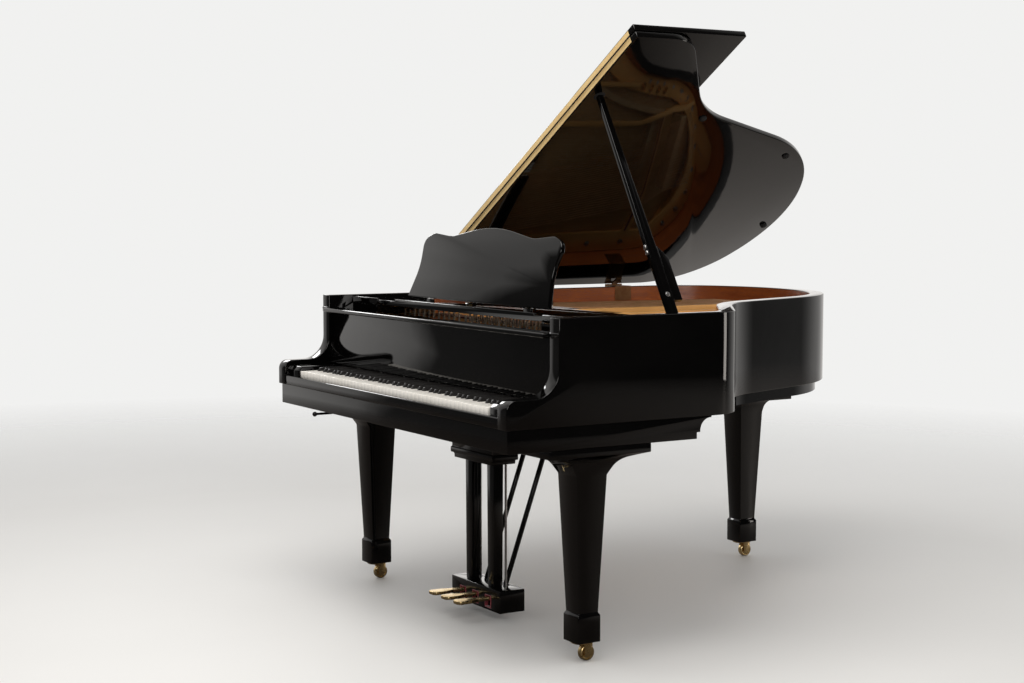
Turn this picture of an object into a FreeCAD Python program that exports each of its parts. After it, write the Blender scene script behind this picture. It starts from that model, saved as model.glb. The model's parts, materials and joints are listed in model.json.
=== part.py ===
import FreeCAD, Part
import math
import os
import re

import Sketcher
from FreeCAD import Vector

# A grand piano with its lid propped open. The origin is on the floor under the middle of the
# keyboard's front edge, +Y runs to the tail, +X to the treble side and +Z up. Millimetres, degrees.

SIZES = {
    # Case outline: straight spine, rounded tail, hollow waist and straight treble side
    "arm_width": 132.7,
    "case_length": 1830,
    "spine_corner_length_share": 0.9306,
    "peak_share": 0.38215,
    "peak_length_share": 1.03022,
    "shoulder_share": 0.22215,
    "shoulder_length_share": 0.90967,
    "waist_share": 0.50671,
    "waist_length_share": 0.25505,
    "cheek_lead": 73,
    "spine_reach_share": 0.446,
    "peak_reach_share": 0.53,
    "shoulder_reach_share": 0.45,
    "waist_round_share": 0.64976,
    "cheek_round_share": 0.37,
    "least_round": 30,
    # Rim and arms
    "string_cover": 62,
    "rim_bottom": 685,
    "rim_wall": 48,
    "arm_shoulder_y": 166,
    "ledge_rise": 80,
    "arm_cove_round": 78,
    "arm_nose_round": 30,
    "inner_rim_wall": 52,
    "board_drop": 73,
    "cut_overrun": 20,
    # Keybed, key slip, key blocks and name rail
    "keybed_thickness": 65,
    "keybed_inset": 8,
    "keybed_back": 640,
    "cove_step": 12,
    "cove_round": 36,
    "cove_run": 40,
    "rim_foot_height": 36,
    "rim_foot_inset": 25,
    "rim_foot_lead": 59,
    "slip_front": 2,
    "slip_depth": 16,
    "slip_rise": 31,
    "block_rise": 63,
    "block_bevel": 12,
    "name_rail_front": 189,
    "name_rail_depth": 20,
    "name_rail_gap": 5,
    "name_rail_height": 17,
    # Frame under the soundboard
    "belly_lead": 68,
    "belly_depth": 40,
    "beam_width": 62,
    "beam_height": 105,
    "beam_fan": 150,
    # Soundboard, ribs and bridges
    "board_thickness": 9,
    "board_seat": 20,
    "rib_width": 20,
    "rib_height": 22,
    "rib_pitch": 116,
    "bridge_width": 30,
    "treble_bridge_inset": 205,
    "tenor_bridge_inset": 455,
    "tenor_bridge_lead": 95,
    "bass_bridge_back": 286,
    "bass_bridge_inset": 325,
    "bass_bridge_margin": 50,
    # Iron plate and pin block
    "plate_gap": 4,
    "string_clearance": 10,
    "plate_web": 14,
    "plate_flange": 62,
    "plate_front": 330,
    "strut_width": 26,
    "strut_foot": 34,
    "strut_clearance": 7,
    "strut_depth": 27,
    "tenor_strut_share": 0.026846,
    "middle_strut_share": 0.33557,
    "treble_strut_share": 0.644295,
    "gap_lead": 100,
    "tenor_hitch_back": 429,
    "tenor_hitch_width": 30,
    "bearing_depth": 5,
    "bass_bearing_end": -300,
    "treble_bearing_start": -270,
    "port_radius": 22,
    "pin_block_front": 362,
    "pin_block_height": 38,
    # Strings and tuning pins
    "string_rise": 233,
    "string_radius": 0.7,
    "bass_string_radius": 1.6,
    "bass_string_rise": 20,
    "hitch_inset": 112,
    "pin_radius": 3.4,
    "pin_height": 24,
    "pin_row_front": 410,
    "pin_row_pitch": 32,
    # Keys
    "white_keys": 52,
    "white_pitch": 23.55,
    "key_gap": 1,
    "key_front": 20,
    "key_rise": 50,
    "key_height": 22,
    "key_back": 424,
    "head_length": 50,
    "black_front": 72,
    "black_rise": 11.5,
    "black_back": 178,
    "black_side_draft": 1.6,
    "black_front_draft": 7,
    # Key frame
    "rail_width": 26,
    "front_rail_y": 44,
    "front_rail_drop": 12,
    "balance_y": 240,
    "balance_width": 10,
    "bearing_gap": 0.4,
    "back_rail_y": 398,
    "cheek_thickness": 10,
    "action_shift": 4,
    "hammer_rail_depth": 24,
    "hammer_rail_height": 20,
    # Hammers and dampers
    "hammer_pivot_y": 492,
    "hammer_drop": 102,
    "hammer_reach": 138,
    "hammer_head_height": 54,
    "hammer_head_depth": 24,
    "hammer_head_drop": 8,
    "hammer_width": 8.5,
    "shank_height": 6,
    "damper_lead": 50,
    "damper_length": 46,
    "damper_height": 26,
    "damper_width": 9,
    "damper_gap": 0.4,
    # Legs and casters
    "leg_side_inset": 105,
    "leg_front_y": 312,
    "leg_tail_inset": 459,
    "leg_seat": 24,
    "leg_top_width": 100,
    "leg_foot_width": 66,
    "foot_width": 76,
    "foot_height": 84,
    "foot_bevel": 7,
    "leg_cap_half_x": 95,
    "leg_cap_half_y": 169,
    "leg_flare_height": 61,
    "leg_plate_thickness": 25,
    "flare_knee_share": 0.26,
    "flare_knee_rise_share": 0.74,
    "flare_round": 60,
    "tail_cap_half": 80,
    "tail_flare_height": 50,
    "tail_flare_round": 45,
    "tail_plate_half": 124,
    "tail_plate_thickness": 24,
    "tail_block_half": 155,
    "caster_height": 58,
    "wheel_radius": 23,
    "wheel_width": 20,
    "wheel_play": 1,
    "axle_radius": 4,
    "fit_clearance": 0.05,
    "caster_trail": 14,
    "fork_wall": 4,
    "fork_width": 26,
    "fork_plate_radius": 25,
    "fork_plate_height": 6,
    "stem_radius": 6,
    "stem_length": 40,
    "rest_gap": 0.3,
    # Lyre and pedals
    "lyre_y": 380,
    "lyre_head_width": 260,
    "lyre_head_depth": 88,
    "lyre_head_reach": 55,
    "lyre_head_height": 133,
    "lyre_head_neck": 230,
    "lyre_head_round": 16,
    "lyre_head_lip": 119,
    "post_x": 67,
    "post_top_width": 44,
    "post_foot_width": 34,
    "post_depth": 34,
    "pedal_box_width": 300,
    "pedal_box_depth": 90,
    "pedal_box_bottom": 30,
    "pedal_box_top": 100,
    "pedal_box_wall": 12,
    "pedal_box_lip": 10,
    "pedal_pitch": 78,
    "pedal_tip_y": 218,
    "pedal_tip_width": 46,
    "pedal_neck_width": 26,
    "pedal_neck_y": 292,
    "pedal_height": 62,
    "pedal_thickness": 10,
    "pedal_tail_y": 410,
    "pedal_pivot_y": 356,
    "pedal_pin_radius": 4,
    "slot_margin": 5,
    "slot_drop": 24,
    "rod_radius": 4,
    "rod_gap": 0.8,
    "rod_hole_margin": 2,
    "rod_guide_depth": 24,
    "rod_headroom": 12,
    "rod_y": 400,
    "brace_radius": 8,
    "brace_x": 58,
    "brace_foot_y": 412,
    "brace_head_y": 596,
    # Lids and hinges
    "lid_angle": 31.2,
    "lid_thickness": 20,
    "lid_overhang": 8,
    "lid_gap": 5,
    "lid_front": 568,
    "flap_length": 413,
    "flap_gap": 2,
    "flap_pin_rise": 3,
    "flap_leaf_gap": 0.2,
    "flap_leaf_edge": 4,
    "flap_barrel_radius": 2.6,
    "flap_leaf_margin": 30,
    "hinge_out": 14,
    "hinge_drop": 2.5,
    "hinge_leaf_length": 72,
    "hinge_leaf_width": 46,
    "hinge_leaf_thickness": 2,
    "hinge_barrel_radius": 5,
    "hinge_pin_radius": 2.5,
    "hinge_skirt": 52,
    "hinge_front_inset": 132,
    "hinge_back_inset": 485,
    # Props
    "prop_inset": 29,
    "prop_y": 610,
    "prop_drop": 28,
    "prop_lean": 30.5,
    "prop_width": 34,
    "prop_tip_width": 18,
    "prop_taper_start": 236,
    "prop_thickness": 16,
    "prop_heel": 20,
    "prop_pin_radius": 5,
    "short_prop_start": 66,
    "short_prop_length": 180,
    "short_prop_slant": 42,
    "short_prop_width": 30,
    "short_prop_gap": 0.4,
    "prop_bracket_wall": 4,
    "prop_bracket_width": 30,
    "prop_tip_gap": 0.4,
    # Fallboard, music shelf and music desk
    "fall_pivot_y": 177,
    "fall_pivot_rise": 12,
    "fall_front": 166,
    "fall_thickness": 18,
    "fall_lean": 18,
    "fall_gap": 4,
    "fall_drop": 42,
    "fall_lip_depth": 40,
    "fall_lip_height": 14,
    "fall_lip_round": 5,
    "fall_side_gap": 1,
    "fall_pin_radius": 4,
    "fall_pin_length": 12,
    "shelf_front": 280,
    "shelf_wing_width": 230,
    "shelf_back": 545,
    "shelf_wing_front": 256,
    "shelf_block_depth": 60,
    "shelf_drop": 12,
    "shelf_thickness": 16,
    "shelf_side_gap": 1.5,
    "shelf_rail_width": 34,
    "shelf_rail_height": 24,
    "shelf_lip_depth": 8,
    "shelf_lip_height": 7,
    "desk_y": 343,
    "desk_rise": 13,
    "desk_lean": 17.5,
    "desk_thickness": 15,
    "desk_half_foot": 433,
    "desk_half_waist": 404,
    "desk_waist_height": 102,
    "desk_waist_round": 150,
    "desk_half_shoulder": 424,
    "desk_shoulder_height": 197,
    "desk_shoulder_round": 34,
    "desk_half_ear": 365,
    "desk_ear_height": 219,
    "desk_ear_round": 60,
    "desk_half_dip": 250,
    "desk_dip_height": 209,
    "desk_dip_round": 200,
    "desk_crown_height": 250,
    "desk_crown_round": 800,
    "desk_lug_width": 40,
    "desk_lug_thickness": 8,
    "desk_lug_x": 300,
    "strut_pin_height": 80,
    "strut_pin_out": 5,
    "desk_strut_angle": 32.5,
    "desk_strut_width": 14,
    "desk_strut_thickness": 6,
    "desk_strut_x": 180,
    "rack_width": 24,
    "rack_depth": 28,
    "rack_height": 3,
    # Lever under the keybed
    "lever_inset": 255,
    "lever_y": 76,
    "lever_length": 62,
    "lever_radius": 4,
    "lever_ball_radius": 8,
    "lever_drop": 16,
}

# Sizes that follow from the ones above
PLACES = {
    "keyboard_half": "white_pitch * white_keys / 2",
    "half_width": "keyboard_half + arm_width",
    "case_width": "2 * half_width",
    "belly_front": "hammer_pivot_y + hammer_reach + belly_lead",
    "gap_front": "hammer_pivot_y + gap_lead",
    "damper_front": "belly_front + damper_lead",
    "spine_corner_y": "case_length * spine_corner_length_share",
    "peak_x": "-half_width * peak_share",
    "peak_y": "case_length * peak_length_share",
    "shoulder_x": "half_width * shoulder_share",
    "shoulder_y": "case_length * shoulder_length_share",
    "waist_x": "half_width * waist_share",
    "cheek_y": "belly_front + cheek_lead",
    "waist_y": "cheek_y + (case_length - cheek_y) * waist_length_share",
    "string_height": "rim_bottom + string_rise",
    "rim_top": "string_height + string_cover",
    "keybed_bottom": "rim_bottom - keybed_thickness",
    "slip_top": "rim_bottom + slip_rise",
    "block_top": "rim_bottom + block_rise",
    "key_top": "rim_bottom + key_rise",
    "arm_ledge": "rim_bottom + ledge_rise",
    "name_rail_bottom": "key_top + name_rail_gap",
    "fall_pivot_height": "block_top + fall_pivot_rise",
    "fall_bottom": "block_top + fall_gap",
    "fall_top": "rim_top - fall_drop",
    "inner_rim_top": "string_height - board_drop",
    "plate_top": "string_height - string_clearance",
    "strut_under": "string_height + strut_clearance",
    "strut_top": "strut_under + strut_depth",
    "hammer_pivot_height": "string_height - hammer_drop",
    "shelf_top": "rim_top - shelf_drop",
    "prop_height": "rim_top - prop_drop",
    "lyre_head_bottom": "keybed_bottom - lyre_head_height",
    "tenor_strut_x": "half_width * tenor_strut_share",
    "middle_strut_x": "half_width * middle_strut_share",
    "treble_strut_x": "half_width * treble_strut_share",
    "tenor_hitch_y": "case_length - tenor_hitch_back",
    "tenor_bridge_y": "tenor_hitch_y - tenor_bridge_lead",
    "bass_bridge_y": "case_length - bass_bridge_back",
    "bass_bridge_left": "-half_width + bass_bridge_inset",
    "bass_bridge_right": "tenor_strut_x - bass_bridge_margin",
    "tenor_bridge_left": "-half_width + tenor_bridge_inset",
    "leg_front_x": "half_width - leg_side_inset",
    "leg_tail_x": "-half_width + leg_tail_inset",
    "leg_tail_y": "case_length - rim_wall - inner_rim_wall - tail_plate_half + leg_seat",
    "hinge_back_y": "case_length - hinge_back_inset",
    "hinge_front_y": "lid_front + hinge_front_inset",
    "prop_x": "half_width - rim_wall - prop_inset",
    "shelf_half_width": "half_width - shelf_wing_width",
    "lever_x": "-half_width + lever_inset",
    "rim_inside": "half_width - rim_wall",
    "heel_run": "peak_x + half_width",
    "heel_rise": "peak_y - spine_corner_y",
    "heel_span": "sqrt(heel_run ^ 2 + heel_rise ^ 2)",
    "heel_normal_x": "heel_rise / heel_span",
    "heel_normal_y": "-heel_run / heel_span",
    "rear_run": "shoulder_x - peak_x",
    "rear_drop": "peak_y - shoulder_y",
    "rear_span": "sqrt(rear_run ^ 2 + rear_drop ^ 2)",
    "rear_normal_x": "-rear_drop / rear_span",
    "rear_normal_y": "-rear_run / rear_span",
    "flank_run": "waist_x - shoulder_x",
    "flank_drop": "shoulder_y - waist_y",
    "flank_span": "sqrt(flank_run ^ 2 + flank_drop ^ 2)",
    "waist_round": "flank_span * waist_round_share",
    "flank_normal_x": "-flank_drop / flank_span",
    "flank_normal_y": "-flank_run / flank_span",
    "cheek_run": "half_width - waist_x",
    "cheek_drop": "waist_y - cheek_y",
    "cheek_span": "sqrt(cheek_run ^ 2 + cheek_drop ^ 2)",
    "cheek_round": "cheek_run * cheek_round_share",
    "cheek_normal_x": "-cheek_drop / cheek_span",
    "cheek_normal_y": "-cheek_run / cheek_span",
    "spine_slant": "heel_normal_y / (1 + heel_normal_x)",
    "peak_turn": "1 + heel_normal_x * rear_normal_x + heel_normal_y * rear_normal_y",
    "peak_slant_x": "(heel_normal_x + rear_normal_x) / peak_turn",
    "peak_slant_y": "(heel_normal_y + rear_normal_y) / peak_turn",
    "shoulder_turn": "1 + rear_normal_x * flank_normal_x + rear_normal_y * flank_normal_y",
    "shoulder_slant_x": "(rear_normal_x + flank_normal_x) / shoulder_turn",
    "shoulder_slant_y": "(rear_normal_y + flank_normal_y) / shoulder_turn",
    "spine_round": "heel_span * spine_reach_share * sqrt((1 + heel_normal_x) / (1 - heel_normal_x))",
    "peak_reach": "min(heel_span; rear_span) * peak_reach_share",
    "peak_round": "peak_reach * sqrt(peak_turn / (2 - peak_turn))",
    "shoulder_reach": "rear_span * shoulder_reach_share",
    "shoulder_round": "shoulder_reach * sqrt(shoulder_turn / (2 - shoulder_turn))",
    "waist_turn": "1 + flank_normal_x * cheek_normal_x + flank_normal_y * cheek_normal_y",
    "waist_slant_x": "(flank_normal_x + cheek_normal_x) / waist_turn",
    "waist_slant_y": "(flank_normal_y + cheek_normal_y) / waist_turn",
    "cheek_slant": "cheek_normal_y / (1 - cheek_normal_x)",
    "board_top": "inner_rim_top + board_thickness",
    "bridge_top": "string_height - string_radius",
    "bass_string_height": "string_height + bass_string_rise",
    "bass_bridge_top": "bass_string_height - bass_string_radius",
    "hitch_line": "hitch_inset + plate_flange / 2",
    "web_bottom": "plate_top - plate_web",
    "key_bottom": "key_top - key_height",
    "leg_top": "keybed_bottom - leg_plate_thickness - leg_flare_height",
    "foot_bottom": "rim_bottom - rim_foot_height",
    "foot_front": "waist_y + rim_foot_lead",
    "tail_block_height": "foot_bottom - leg_top - tail_flare_height - tail_plate_thickness",
    "pedal_top": "pedal_height + pedal_thickness",
    "hinge_x": "-half_width - hinge_out",
    "hinge_height": "rim_top + hinge_drop",
    "lid_bottom_local": "lid_gap - hinge_drop",
    "lid_top_local": "lid_bottom_local + lid_thickness",
    "flap_pin_y": "lid_front - flap_gap / 2",
    "flap_pin_local": "lid_top_local + flap_pin_rise",
    "flap_bottom_local": "lid_top_local + 2 * flap_pin_rise",
    "shelf_bottom": "shelf_top - shelf_thickness",
    "prop_climb": "lid_bottom_local - prop_tip_gap - (prop_height - hinge_height) * cos(lid_angle)",
    "prop_length": "(prop_climb + (prop_x - hinge_x) * sin(lid_angle)) / cos(lid_angle - prop_lean)",
    "desk_pivot_height": "shelf_top + desk_rise",
    "strut_pin_y": "desk_y + strut_pin_out * cos(desk_lean) + strut_pin_height * sin(desk_lean)",
    "strut_pin_rise": "desk_rise - strut_pin_out * sin(desk_lean) + strut_pin_height * cos(desk_lean)",
    "strut_toe": "rack_height + rest_gap + desk_strut_thickness / 2 * sin(desk_strut_angle)",
    "desk_strut_length": "(strut_pin_rise - strut_toe) / cos(desk_strut_angle)",
    "fork_plate_top": "caster_height - rest_gap",
    "fork_plate_bottom": "fork_plate_top - fork_plate_height",
}

NOTES = 88
BASS_NOTES = 26
LOWEST_NOTE_IN_OCTAVE = 9
LOWEST_WHITE_IN_OCTAVE = 5
OCTAVE_NOTES = 12
OCTAVE_WHITES = 7
LOWER_NOTES = 5
LOWER_WHITES = 3
WHITE_STEPS = (0, 2, 4, 5, 7, 9, 11)
MIDDLE_SHARE = 0.5
BASS_SPREAD_SHARE = 0.82
DAMPED_NOTES = 66
RIBS = 8
PIN_ROWS = 3
FIRST_SINGLE_KEY = 39
SINGLE_KEYS = ("c", "c_sharp", "d", "d_sharp", "e")
PORT_SHARES = (0.36, 0.48, 0.6, 0.72)

doc = FreeCAD.newDocument("GrandPiano")
sheet = doc.addObject("Spreadsheet::Sheet", "Sizes")
nodes = []


def fill_sheet():
    """Write every driving size, then every derived one, under its own alias."""
    row = 0
    for name, number in SIZES.items():
        row += 1
        sheet.set("A%d" % row, name)
        sheet.set("B%d" % row, str(number))
        sheet.setAlias("B%d" % row, name)
    for name, rule in PLACES.items():
        row += 1
        sheet.set("A%d" % row, name)
        sheet.set("B%d" % row, "=" + rule)
        sheet.setAlias("B%d" % row, name)
    doc.recompute()


def spell(rule):
    """Turn a rule in alias words into an expression on the sheet."""
    words = r"[a-z][a-z_]+"
    known = set(SIZES) | set(PLACES)
    return re.sub(words, lambda w: "Sizes." + w.group() if w.group() in known else w.group(), str(rule))


def value(rule):
    """The number that a rule in alias words gives now."""
    return float(sheet.evalExpression(spell(rule)))


def bind(thing, rules):
    """Bind properties of a document object to rules in alias words."""
    for path, rule in rules.items():
        thing.setExpression(path, spell(rule))
    return thing


def place(thing, base, turns=()):
    """Bind a placement: a base point and turns about the X, Y or Z axis, outermost first."""
    axes = {"X": "vector(1; 0; 0)", "Y": "vector(0; 1; 0)", "Z": "vector(0; 0; 1)"}
    spin = " * ".join("rotation(%s; %s)" % (axes[axis], spell(angle)) for axis, angle in turns)
    spot = "vector(%s)" % "; ".join(spell(rule) for rule in base)
    thing.setExpression("Placement", "placement(%s; %s)" % (spot, spin or "rotation(0; 0; 0)"))
    return thing


def keep(thing, label):
    """Name a finished sub-part; its label names its file."""
    thing.Label = label
    nodes.append(thing)
    return thing


def box(x, y, z):
    """A block between pairs of rules for its low and high faces."""
    block = doc.addObject("Part::Box", "Block")
    bind(block, {"Length": "(%s) - (%s)" % (x[1], x[0])})
    bind(block, {"Width": "(%s) - (%s)" % (y[1], y[0])})
    bind(block, {"Height": "(%s) - (%s)" % (z[1], z[0])})
    return place(block, (x[0], y[0], z[0]))


def rod(radius, length, base, axis="Z"):
    """A cylinder from a base point along +X, +Y or +Z."""
    turns = {"X": [("Y", "90")], "Y": [("X", "-90")], "Z": []}[axis]
    bar = doc.addObject("Part::Cylinder", "Rod")
    bind(bar, {"Radius": radius, "Height": length})
    return place(bar, base, turns)


def taper(x, y, low, high):
    """A square tapered post: low and high are pairs of half width and height rules."""
    post = doc.addObject("Part::Wedge", "Post")
    for half, suffix in ((low[0], ""), (high[0], "2")):
        bind(post, {"X%smin" % suffix: "-(%s)" % half, "X%smax" % suffix: half})
        bind(post, {"Z%smin" % suffix: "-(%s)" % half, "Z%smax" % suffix: half})
    bind(post, {"Ymin": low[1], "Ymax": high[1]})
    return place(post, (x, y, "0"), [("X", "90")])


def cut(base, *tools):
    """Base less each tool; a tool that removes nothing is an error."""
    for tool in tools:
        carved = doc.addObject("Part::Cut", "Carved")
        carved.Base = base
        carved.Tool = tool
        doc.recompute()
        if not carved.Shape.Volume < base.Shape.Volume:
            raise RuntimeError("a cut removed nothing from " + base.Name)
        base = carved
    return base


def fuse(*pieces):
    """One solid from pieces that touch or overlap."""
    joined = doc.addObject("Part::MultiFuse", "Joined")
    joined.Shapes = list(pieces)
    joined.Refine = True
    return joined


def common(first, second):
    """What two pieces share."""
    shared = doc.addObject("Part::Common", "Shared")
    shared.Base = first
    shared.Tool = second
    return shared


def group(*pieces):
    """Separate solids that share one node."""
    together = doc.addObject("Part::Compound", "Group")
    together.Links = list(pieces)
    return together


def corner_arc(before, here, after, radius):
    """Where a corner's arc starts and ends, its arc, and whether it turns to the left."""
    back = (before - here).normalize()
    ahead = (after - here).normalize()
    half = math.acos(max(-1, min(1, back.dot(ahead)))) / 2
    reach = radius / math.tan(half)
    start = here + back * reach
    end = here + ahead * reach
    centre = here + (back + ahead).normalize() * (radius / math.sin(half))
    left = (here - before).cross(after - here).z > 0
    first, last = (start, end) if left else (end, start)
    begin = math.atan2(first.y - centre.y, first.x - centre.x)
    finish = math.atan2(last.y - centre.y, last.x - centre.x)
    circle = Part.Circle(centre, Vector(0, 0, 1), radius)
    return start, end, Part.ArcOfCircle(circle, begin, finish), left


def draw(body, plane, corners):
    """A closed outline on one of the body's planes; a corner is (across, up, radius or None)."""
    sketch = body.newObject("Sketcher::SketchObject", "Outline")
    support = [feature for feature in body.Origin.OriginFeatures if feature.Role == plane][0]
    sketch.AttachmentSupport = [(support, "")]
    sketch.MapMode = "FlatFace"
    spots = [Vector(value(across), value(up), 0) for across, up, radius in corners]
    count = len(corners)
    ends = []
    for index, corner in enumerate(corners):
        start = end = spots[index]
        arc = None
        if corner[2] is not None:
            around = (spots[index - 1], spots[index], spots[(index + 1) % count])
            start, end, curve, left = corner_arc(*around, value(corner[2]))
            arc = (sketch.addGeometry(curve), left)
        ends.append((start, end, arc))
    lines = []
    for index in range(count):
        line = Part.LineSegment(ends[index][1], ends[(index + 1) % count][0])
        lines.append(sketch.addGeometry(line))
    for index, (across, up, radius) in enumerate(corners):
        arriving, leaving = lines[index - 1], lines[index]
        pinned = (leaving, 1)
        if radius is None:
            sketch.addConstraint(Sketcher.Constraint("Coincident", arriving, 2, leaving, 1))
        else:
            arc, left = ends[index][2]
            enter, depart = (1, 2) if left else (2, 1)
            sketch.addConstraint(Sketcher.Constraint("Tangent", arriving, 2, arc, enter))
            sketch.addConstraint(Sketcher.Constraint("Tangent", leaving, 1, arc, depart))
            size = sketch.addConstraint(Sketcher.Constraint("Radius", arc, value(radius)))
            sketch.setExpression("Constraints[%d]" % size, spell(radius))
            point = sketch.addGeometry(Part.Point(spots[index]), True)
            sketch.addConstraint(Sketcher.Constraint("PointOnObject", point, 1, arriving))
            sketch.addConstraint(Sketcher.Constraint("PointOnObject", point, 1, leaving))
            pinned = (point, 1)
        for kind, rule, number in (("DistanceX", across, spots[index].x), ("DistanceY", up, spots[index].y)):
            spot = sketch.addConstraint(Sketcher.Constraint(kind, pinned[0], pinned[1], number))
            sketch.setExpression("Constraints[%d]" % spot, spell(rule))
    return sketch


def slab(plane, corners, start, thickness):
    """An outline on the XY, XZ or YZ plane, padded towards +Z, +Y or +X from a start."""
    body = doc.addObject("PartDesign::Body", "Slab")
    pad = body.newObject("PartDesign::Pad", "Pad")
    pad.Profile = draw(body, plane, corners)
    pad.Reversed = plane == "XZ_Plane"
    bind(pad, {"Length": thickness})
    base = {"XY_Plane": ("0", "0", start), "XZ_Plane": ("0", start, "0"), "YZ_Plane": (start, "0", "0")}
    return place(body, base[plane])


def rectangle(across, up):
    """The four corners between two pairs of rules."""
    return [
        (across[0], up[0], None),
        (across[0], up[1], None),
        (across[1], up[1], None),
        (across[1], up[0], None),
    ]


def case_outline(inset, front, shift="0"):
    """The case's plan shape, inset all round, with its own front line, moved across by a shift."""
    left = "-half_width + (%s) + (%s)" % (inset, shift)
    right = "half_width - (%s) + (%s)" % (inset, shift)
    return [
        (left, front, None),
        (
            left,
            "spine_corner_y + (%s) * spine_slant" % inset,
            "max(spine_round - (%s); least_round)" % inset,
        ),
        (
            "peak_x + (%s) * peak_slant_x + (%s)" % (inset, shift),
            "peak_y + (%s) * peak_slant_y" % inset,
            "max(peak_round - (%s); least_round)" % inset,
        ),
        (
            "shoulder_x + (%s) * shoulder_slant_x + (%s)" % (inset, shift),
            "shoulder_y + (%s) * shoulder_slant_y" % inset,
            "max(shoulder_round - (%s); least_round)" % inset,
        ),
        (
            "waist_x + (%s) * waist_slant_x + (%s)" % (inset, shift),
            "waist_y + (%s) * waist_slant_y" % inset,
            "waist_round + (%s)" % inset,
        ),
        (right, "cheek_y + (%s) * cheek_slant" % inset, "max(cheek_round - (%s); least_round)" % inset),
        (right, front, None),
    ]


def flank_y(x, inset):
    """How far back the inset outline lies at a place across the case, corners left sharp."""
    corners = [Vector(value(a), value(b), 0) for a, b, r in case_outline(inset, "0")]
    for first, last in zip(corners[1:-1], corners[2:]):
        if first.x <= x <= last.x and last.x > first.x:
            return first.y + (last.y - first.y) * (x - first.x) / (last.x - first.x)
    return corners[-2].y


def solids(shapes):
    """A feature that holds shapes worked out from the sheet."""
    feature = doc.addObject("Part::Feature", "Made")
    feature.Shape = Part.makeCompound(shapes) if len(shapes) > 1 else shapes[0]
    feature.Placement = FreeCAD.Placement()
    return feature


fill_sheet()


# Rim, keybed and the parts round the keys
def make_outer_rim():
    height = "rim_top - rim_bottom"
    outside = slab("XY_Plane", case_outline("0", "-cut_overrun"), "rim_bottom", height)
    inside = slab(
        "XY_Plane",
        case_outline("rim_wall", "-2 * cut_overrun"),
        "rim_bottom - cut_overrun",
        height + " + 2 * cut_overrun",
    )
    # What is taken away in front of the arms leaves a cove above a ledge and a rounded nose
    front = [
        ("-2 * cut_overrun", "rim_top + cut_overrun", None),
        ("arm_shoulder_y", "rim_top + cut_overrun", None),
        ("arm_shoulder_y", "arm_ledge", "arm_cove_round"),
        ("0", "arm_ledge", "arm_nose_round"),
        ("0", "rim_bottom - cut_overrun", None),
        ("-2 * cut_overrun", "rim_bottom - cut_overrun", None),
    ]
    arms = slab("YZ_Plane", front, "-half_width - cut_overrun", "case_width + 2 * cut_overrun")
    pins = rod(
        "fall_pin_radius + fit_clearance",
        "2 * (rim_inside + fall_pin_length)",
        ("-rim_inside - fall_pin_length", "fall_pivot_y", "fall_pivot_height"),
        "X",
    )
    keep(cut(outside, inside, arms, pins), "outer_rim")


def make_inner_rim():
    height = "inner_rim_top - rim_bottom"
    outside = slab("XY_Plane", case_outline("rim_wall", "belly_front"), "rim_bottom", height)
    inside = slab(
        "XY_Plane",
        case_outline("rim_wall + inner_rim_wall", "belly_front - cut_overrun"),
        "rim_bottom - cut_overrun",
        height + " + 2 * cut_overrun",
    )
    # A foot under the rim follows it a little way in, from the waist round the tail
    height = "rim_foot_height"
    foot = slab("XY_Plane", case_outline("rim_foot_inset", "belly_front"), "foot_bottom", height)
    room = slab(
        "XY_Plane",
        case_outline("rim_wall + inner_rim_wall", "belly_front - cut_overrun"),
        "foot_bottom - cut_overrun",
        height + " + 2 * cut_overrun",
    )
    rear = box(
        ("-half_width", "half_width"),
        ("foot_front", "case_length"),
        ("foot_bottom - cut_overrun", "rim_bottom + cut_overrun"),
    )
    keep(fuse(cut(outside, inside), common(cut(foot, room), rear)), "inner_rim")


def make_keybed():
    # The back edge steps up and ends in a cove against the rim
    profile = [
        ("keybed_inset", "keybed_bottom", None),
        ("keybed_inset", "rim_bottom", None),
        ("keybed_back + cove_step + cove_run", "rim_bottom", None),
        ("keybed_back + cove_step + cove_run", "rim_bottom - cove_step / 2", None),
        ("keybed_back + cove_step", "rim_bottom - cove_step / 2", "cove_round"),
        ("keybed_back + cove_step", "rim_bottom - cove_run - cove_step / 2", None),
        ("keybed_back", "rim_bottom - cove_run - cove_step / 2", None),
        ("keybed_back", "keybed_bottom", None),
    ]
    bed = slab("YZ_Plane", profile, "-half_width + keybed_inset", "case_width - 2 * keybed_inset")
    guides = []
    for side in ("-pedal_pitch", "0", "pedal_pitch"):
        spot = (side, "rod_y", "keybed_bottom - cut_overrun")
        guides.append(rod("rod_radius + rod_hole_margin", "rod_guide_depth + cut_overrun", spot))
    pivot = ("lever_x", "lever_y", "keybed_bottom - cut_overrun")
    guides.append(rod("lever_radius + fit_clearance", "lever_drop + cut_overrun", pivot))
    keep(cut(bed, *guides), "keybed")


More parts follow.
